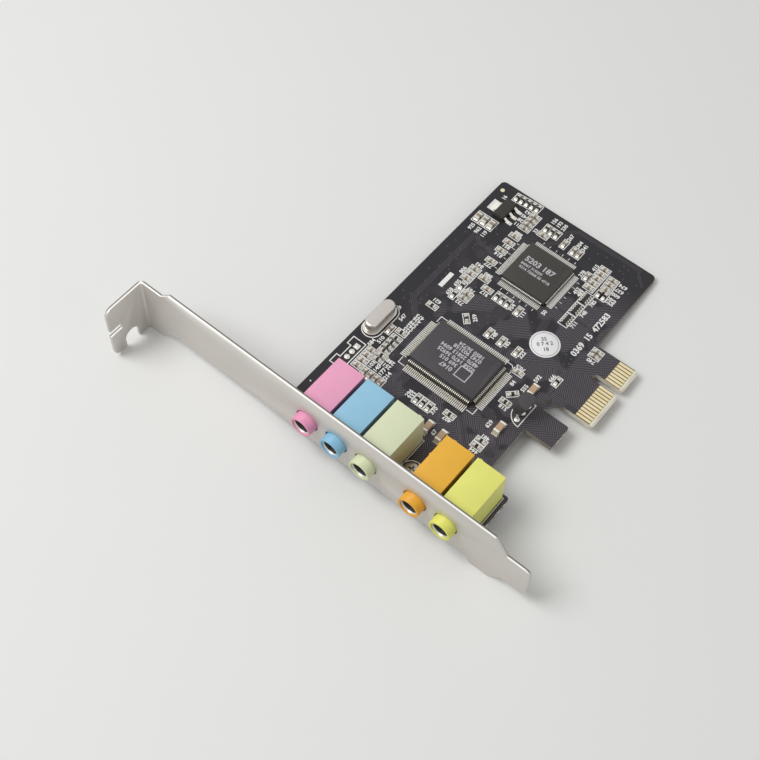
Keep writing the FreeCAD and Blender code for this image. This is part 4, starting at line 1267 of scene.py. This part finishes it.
class CARD_OT_bracket(bpy.types.Operator):
    """Round the bracket's edges, give it its zinc finish and cut the screw's cross"""
    bl_idname = "card.bracket"
    bl_label = "Bracket"

    def execute(self, context):
        softened("slot_bracket", "bracket", settings("bracket").rolled_edge / MM, "zinc_sheet",
                 "bracket")
        head = shaped("bracket_screw_head", self.screw)
        cutter = shaped("cross_cutter", self.cross)
        cut = head.modifiers.new("cross", "BOOLEAN")
        cut.operation, cut.solver, cut.object = "DIFFERENCE", "EXACT", cutter
        cut.use_self = True
        head = evaluated(head, "bracket_screw_cut")
        bpy.data.objects.remove(cutter)
        dress(head, "screw_zinc", "screw", "bracket_screw")
        return {"FINISHED"}

    @staticmethod
    def screw(bm):
        """Threaded shank through the board and the ear, and a domed head."""
        crest, root, pitch, tail = 1.42, 1.22, 0.4, 1.2
        low = -BOARD_T - SHEET_T - tail
        profile = [(1.1, low), (crest, low + 0.3)]
        z = low + 0.45
        while z < -0.3:
            profile += [(crest, z), (root, z + pitch / 2)]
            z += pitch
        profile += [(crest, -0.1), (crest, 0.005), (2.1, 0.005), (2.2, 0.1), (2.2, 0.62),
                    (2.08, 0.95), (1.75, 1.25), (1.2, 1.43), (0.5, 1.5)]
        turned(bm, profile, SCREW, 40)

    @staticmethod
    def cross(bm):
        """Two crossed wedges that cut the driver's recess."""
        for size in ((1.15, 0.27), (0.27, 1.15)):
            made = bmesh.ops.create_cone(bm, segments=4, radius1=0.5, radius2=1, depth=1.0,
                                         cap_ends=True)["verts"]
            bmesh.ops.rotate(bm, verts=made, cent=(0, 0, 0),
                             matrix=Matrix.Rotation(math.pi / 4, 3, "Z"))
            bmesh.ops.scale(bm, verts=made, vec=(*(math.sqrt(2) * side for side in size), 1))
            bmesh.ops.translate(bm, verts=made, vec=(*SCREW, 1.15))


# Stage

def floor_plane():
    """Slopes and height of the plane that touches the heel, the neck and the far edge."""
    heel, neck = (SHEET_T, -1.0, -6.37), (SHEET_T, 107.6, -7.9)
    far = (BOARD_FAR, 13.9, -BOARD_T)
    slope_y = (neck[2] - heel[2]) / (neck[1] - heel[1])
    slope_x = (far[2] - heel[2] - slope_y * (far[1] - heel[1])) / (far[0] - heel[0])
    return slope_x, slope_y, heel[2] - slope_x * heel[0] - slope_y * heel[1]


def soft_light(name, place, size, power):
    """Round lamp that points at the middle of the card."""
    middle = Vector((0.04, 0.04, 0))
    data = bpy.data.lights.new(name, "AREA")
    data.shape = "DISK"
    data.size = size
    data.energy = power
    obj = linked(name, data)
    obj.location = place
    obj.rotation_euler = (middle - Vector(place)).to_track_quat("-Z", "Y").to_euler()


class CARD_OT_stage(bpy.types.Operator):
    """Set the pale floor, the soft lights, the sky and the photograph's camera"""
    bl_idname = "card.stage"
    bl_label = "Stage"

    def execute(self, context):
        look = settings("stage")
        slope_x, slope_y, height = floor_plane()
        reach, gap = 4000, 0.03
        floor = shaped("floor", lambda bm: bm.faces.new(
            [bm.verts.new((x, y, height - gap + slope_x * x + slope_y * y))
             for x, y in ((-reach, -reach), (reach, -reach), (reach, reach), (-reach, reach))]))
        paint(floor, "stage_floor")
        soft_light("key_light", (-0.25, 0.38, 0.62), 0.45, look.key_power)
        soft_light("fill_light", (0.05, -0.7, 0.45), 0.6, look.fill_power)
        self.sky(look)
        self.camera()
        context.scene.view_settings.view_transform = "Standard"
        return {"FINISHED"}

    @staticmethod
    def sky(look):
        """Even light for the card, and a pale colour where the camera sees the sky."""
        world = bpy.data.worlds.new("pale_sky")
        bpy.context.scene.world = world
        world.use_nodes = True
        nodes = Graph(world.node_tree)
        camera, glossy = [nodes.add("ShaderNodeLightPath", output=kind)
                          for kind in ("Is Camera Ray", "Is Glossy Ray")]
        direct = nodes.add("ShaderNodeMath", {"operation": "MAXIMUM"}, {0: camera, 1: glossy})
        light, seen = [nodes.add("ShaderNodeBackground", None, {"Color": colour, "Strength": power})
                       for colour, power in (((1, 1, 1, 1), look.sky),
                                             ((*srgb(232, 232, 231), 1), 1))]
        mixed = nodes.add("ShaderNodeMixShader", None, {0: direct, 1: light, 2: seen})
        nodes.add("ShaderNodeOutputWorld", None, {0: mixed})

    @staticmethod
    def camera():
        """The camera that was fitted to the photograph."""
        width, focal, picture = 36, 1310.829, 760
        right = Vector((0.6310141, -0.7750143, 0.0342634))
        down = Vector((-0.6540153, -0.5552128, -0.5138120))
        forward = Vector((0.4172352, 0.3018139, -0.8572183))
        data = bpy.data.cameras.new("camera")
        data.sensor_width = width
        data.lens = width * focal / picture
        data.clip_start, data.clip_end = 0.01, 20
        obj = linked("camera", data)
        place = Vector((-113.4618, -49.9308, 278.4072)) * MM
        turn = Matrix((right, -down, -forward)).transposed()
        obj.matrix_world = Matrix.Translation(place) @ turn.to_4x4()
        bpy.context.scene.camera = obj


class CARD_PT_dressing(bpy.types.Panel):
    """Lists the steps that dress the card"""
    bl_idname = "CARD_PT_dressing"
    bl_label = "Sound Card"
    bl_space_type = "VIEW_3D"
    bl_region_type = "UI"
    bl_category = "Sound Card"

    def draw(self, context):
        for group in GROUPS:
            box = self.layout.box()
            look = getattr(context.scene, group)
            for key in look.bl_rna.properties.keys():
                if key not in ("rna_type", "name"):
                    box.prop(look, key)
        for step in STEPS:
            self.layout.operator(step.bl_idname)


GROUPS = {"card_board": BoardSettings, "card_bracket": BracketSettings, "card_jacks": JackSettings,
          "card_chips": ChipSettings, "card_stage": StageSettings}
STEPS = (CARD_OT_board, CARD_OT_print, CARD_OT_packages, CARD_OT_chips, CARD_OT_tall_parts,
         CARD_OT_jacks, CARD_OT_bracket, CARD_OT_stage)


def register():
    for kind in (*GROUPS.values(), *STEPS, CARD_PT_dressing):
        bpy.utils.register_class(kind)
    for name, group in GROUPS.items():
        setattr(bpy.types.Scene, name, PointerProperty(type=group))


def unregister():
    for name in GROUPS:
        delattr(bpy.types.Scene, name)
    for kind in reversed((*GROUPS.values(), *STEPS, CARD_PT_dressing)):
        bpy.utils.unregister_class(kind)


def main():
    register()
    bpy.ops.card.board()
    bpy.ops.card.print()
    bpy.ops.card.packages()
    bpy.ops.card.chips()
    bpy.ops.card.tall_parts()
    bpy.ops.card.jacks()
    bpy.ops.card.bracket()
    bpy.ops.card.stage()


if __name__ == "__main__":
    main()
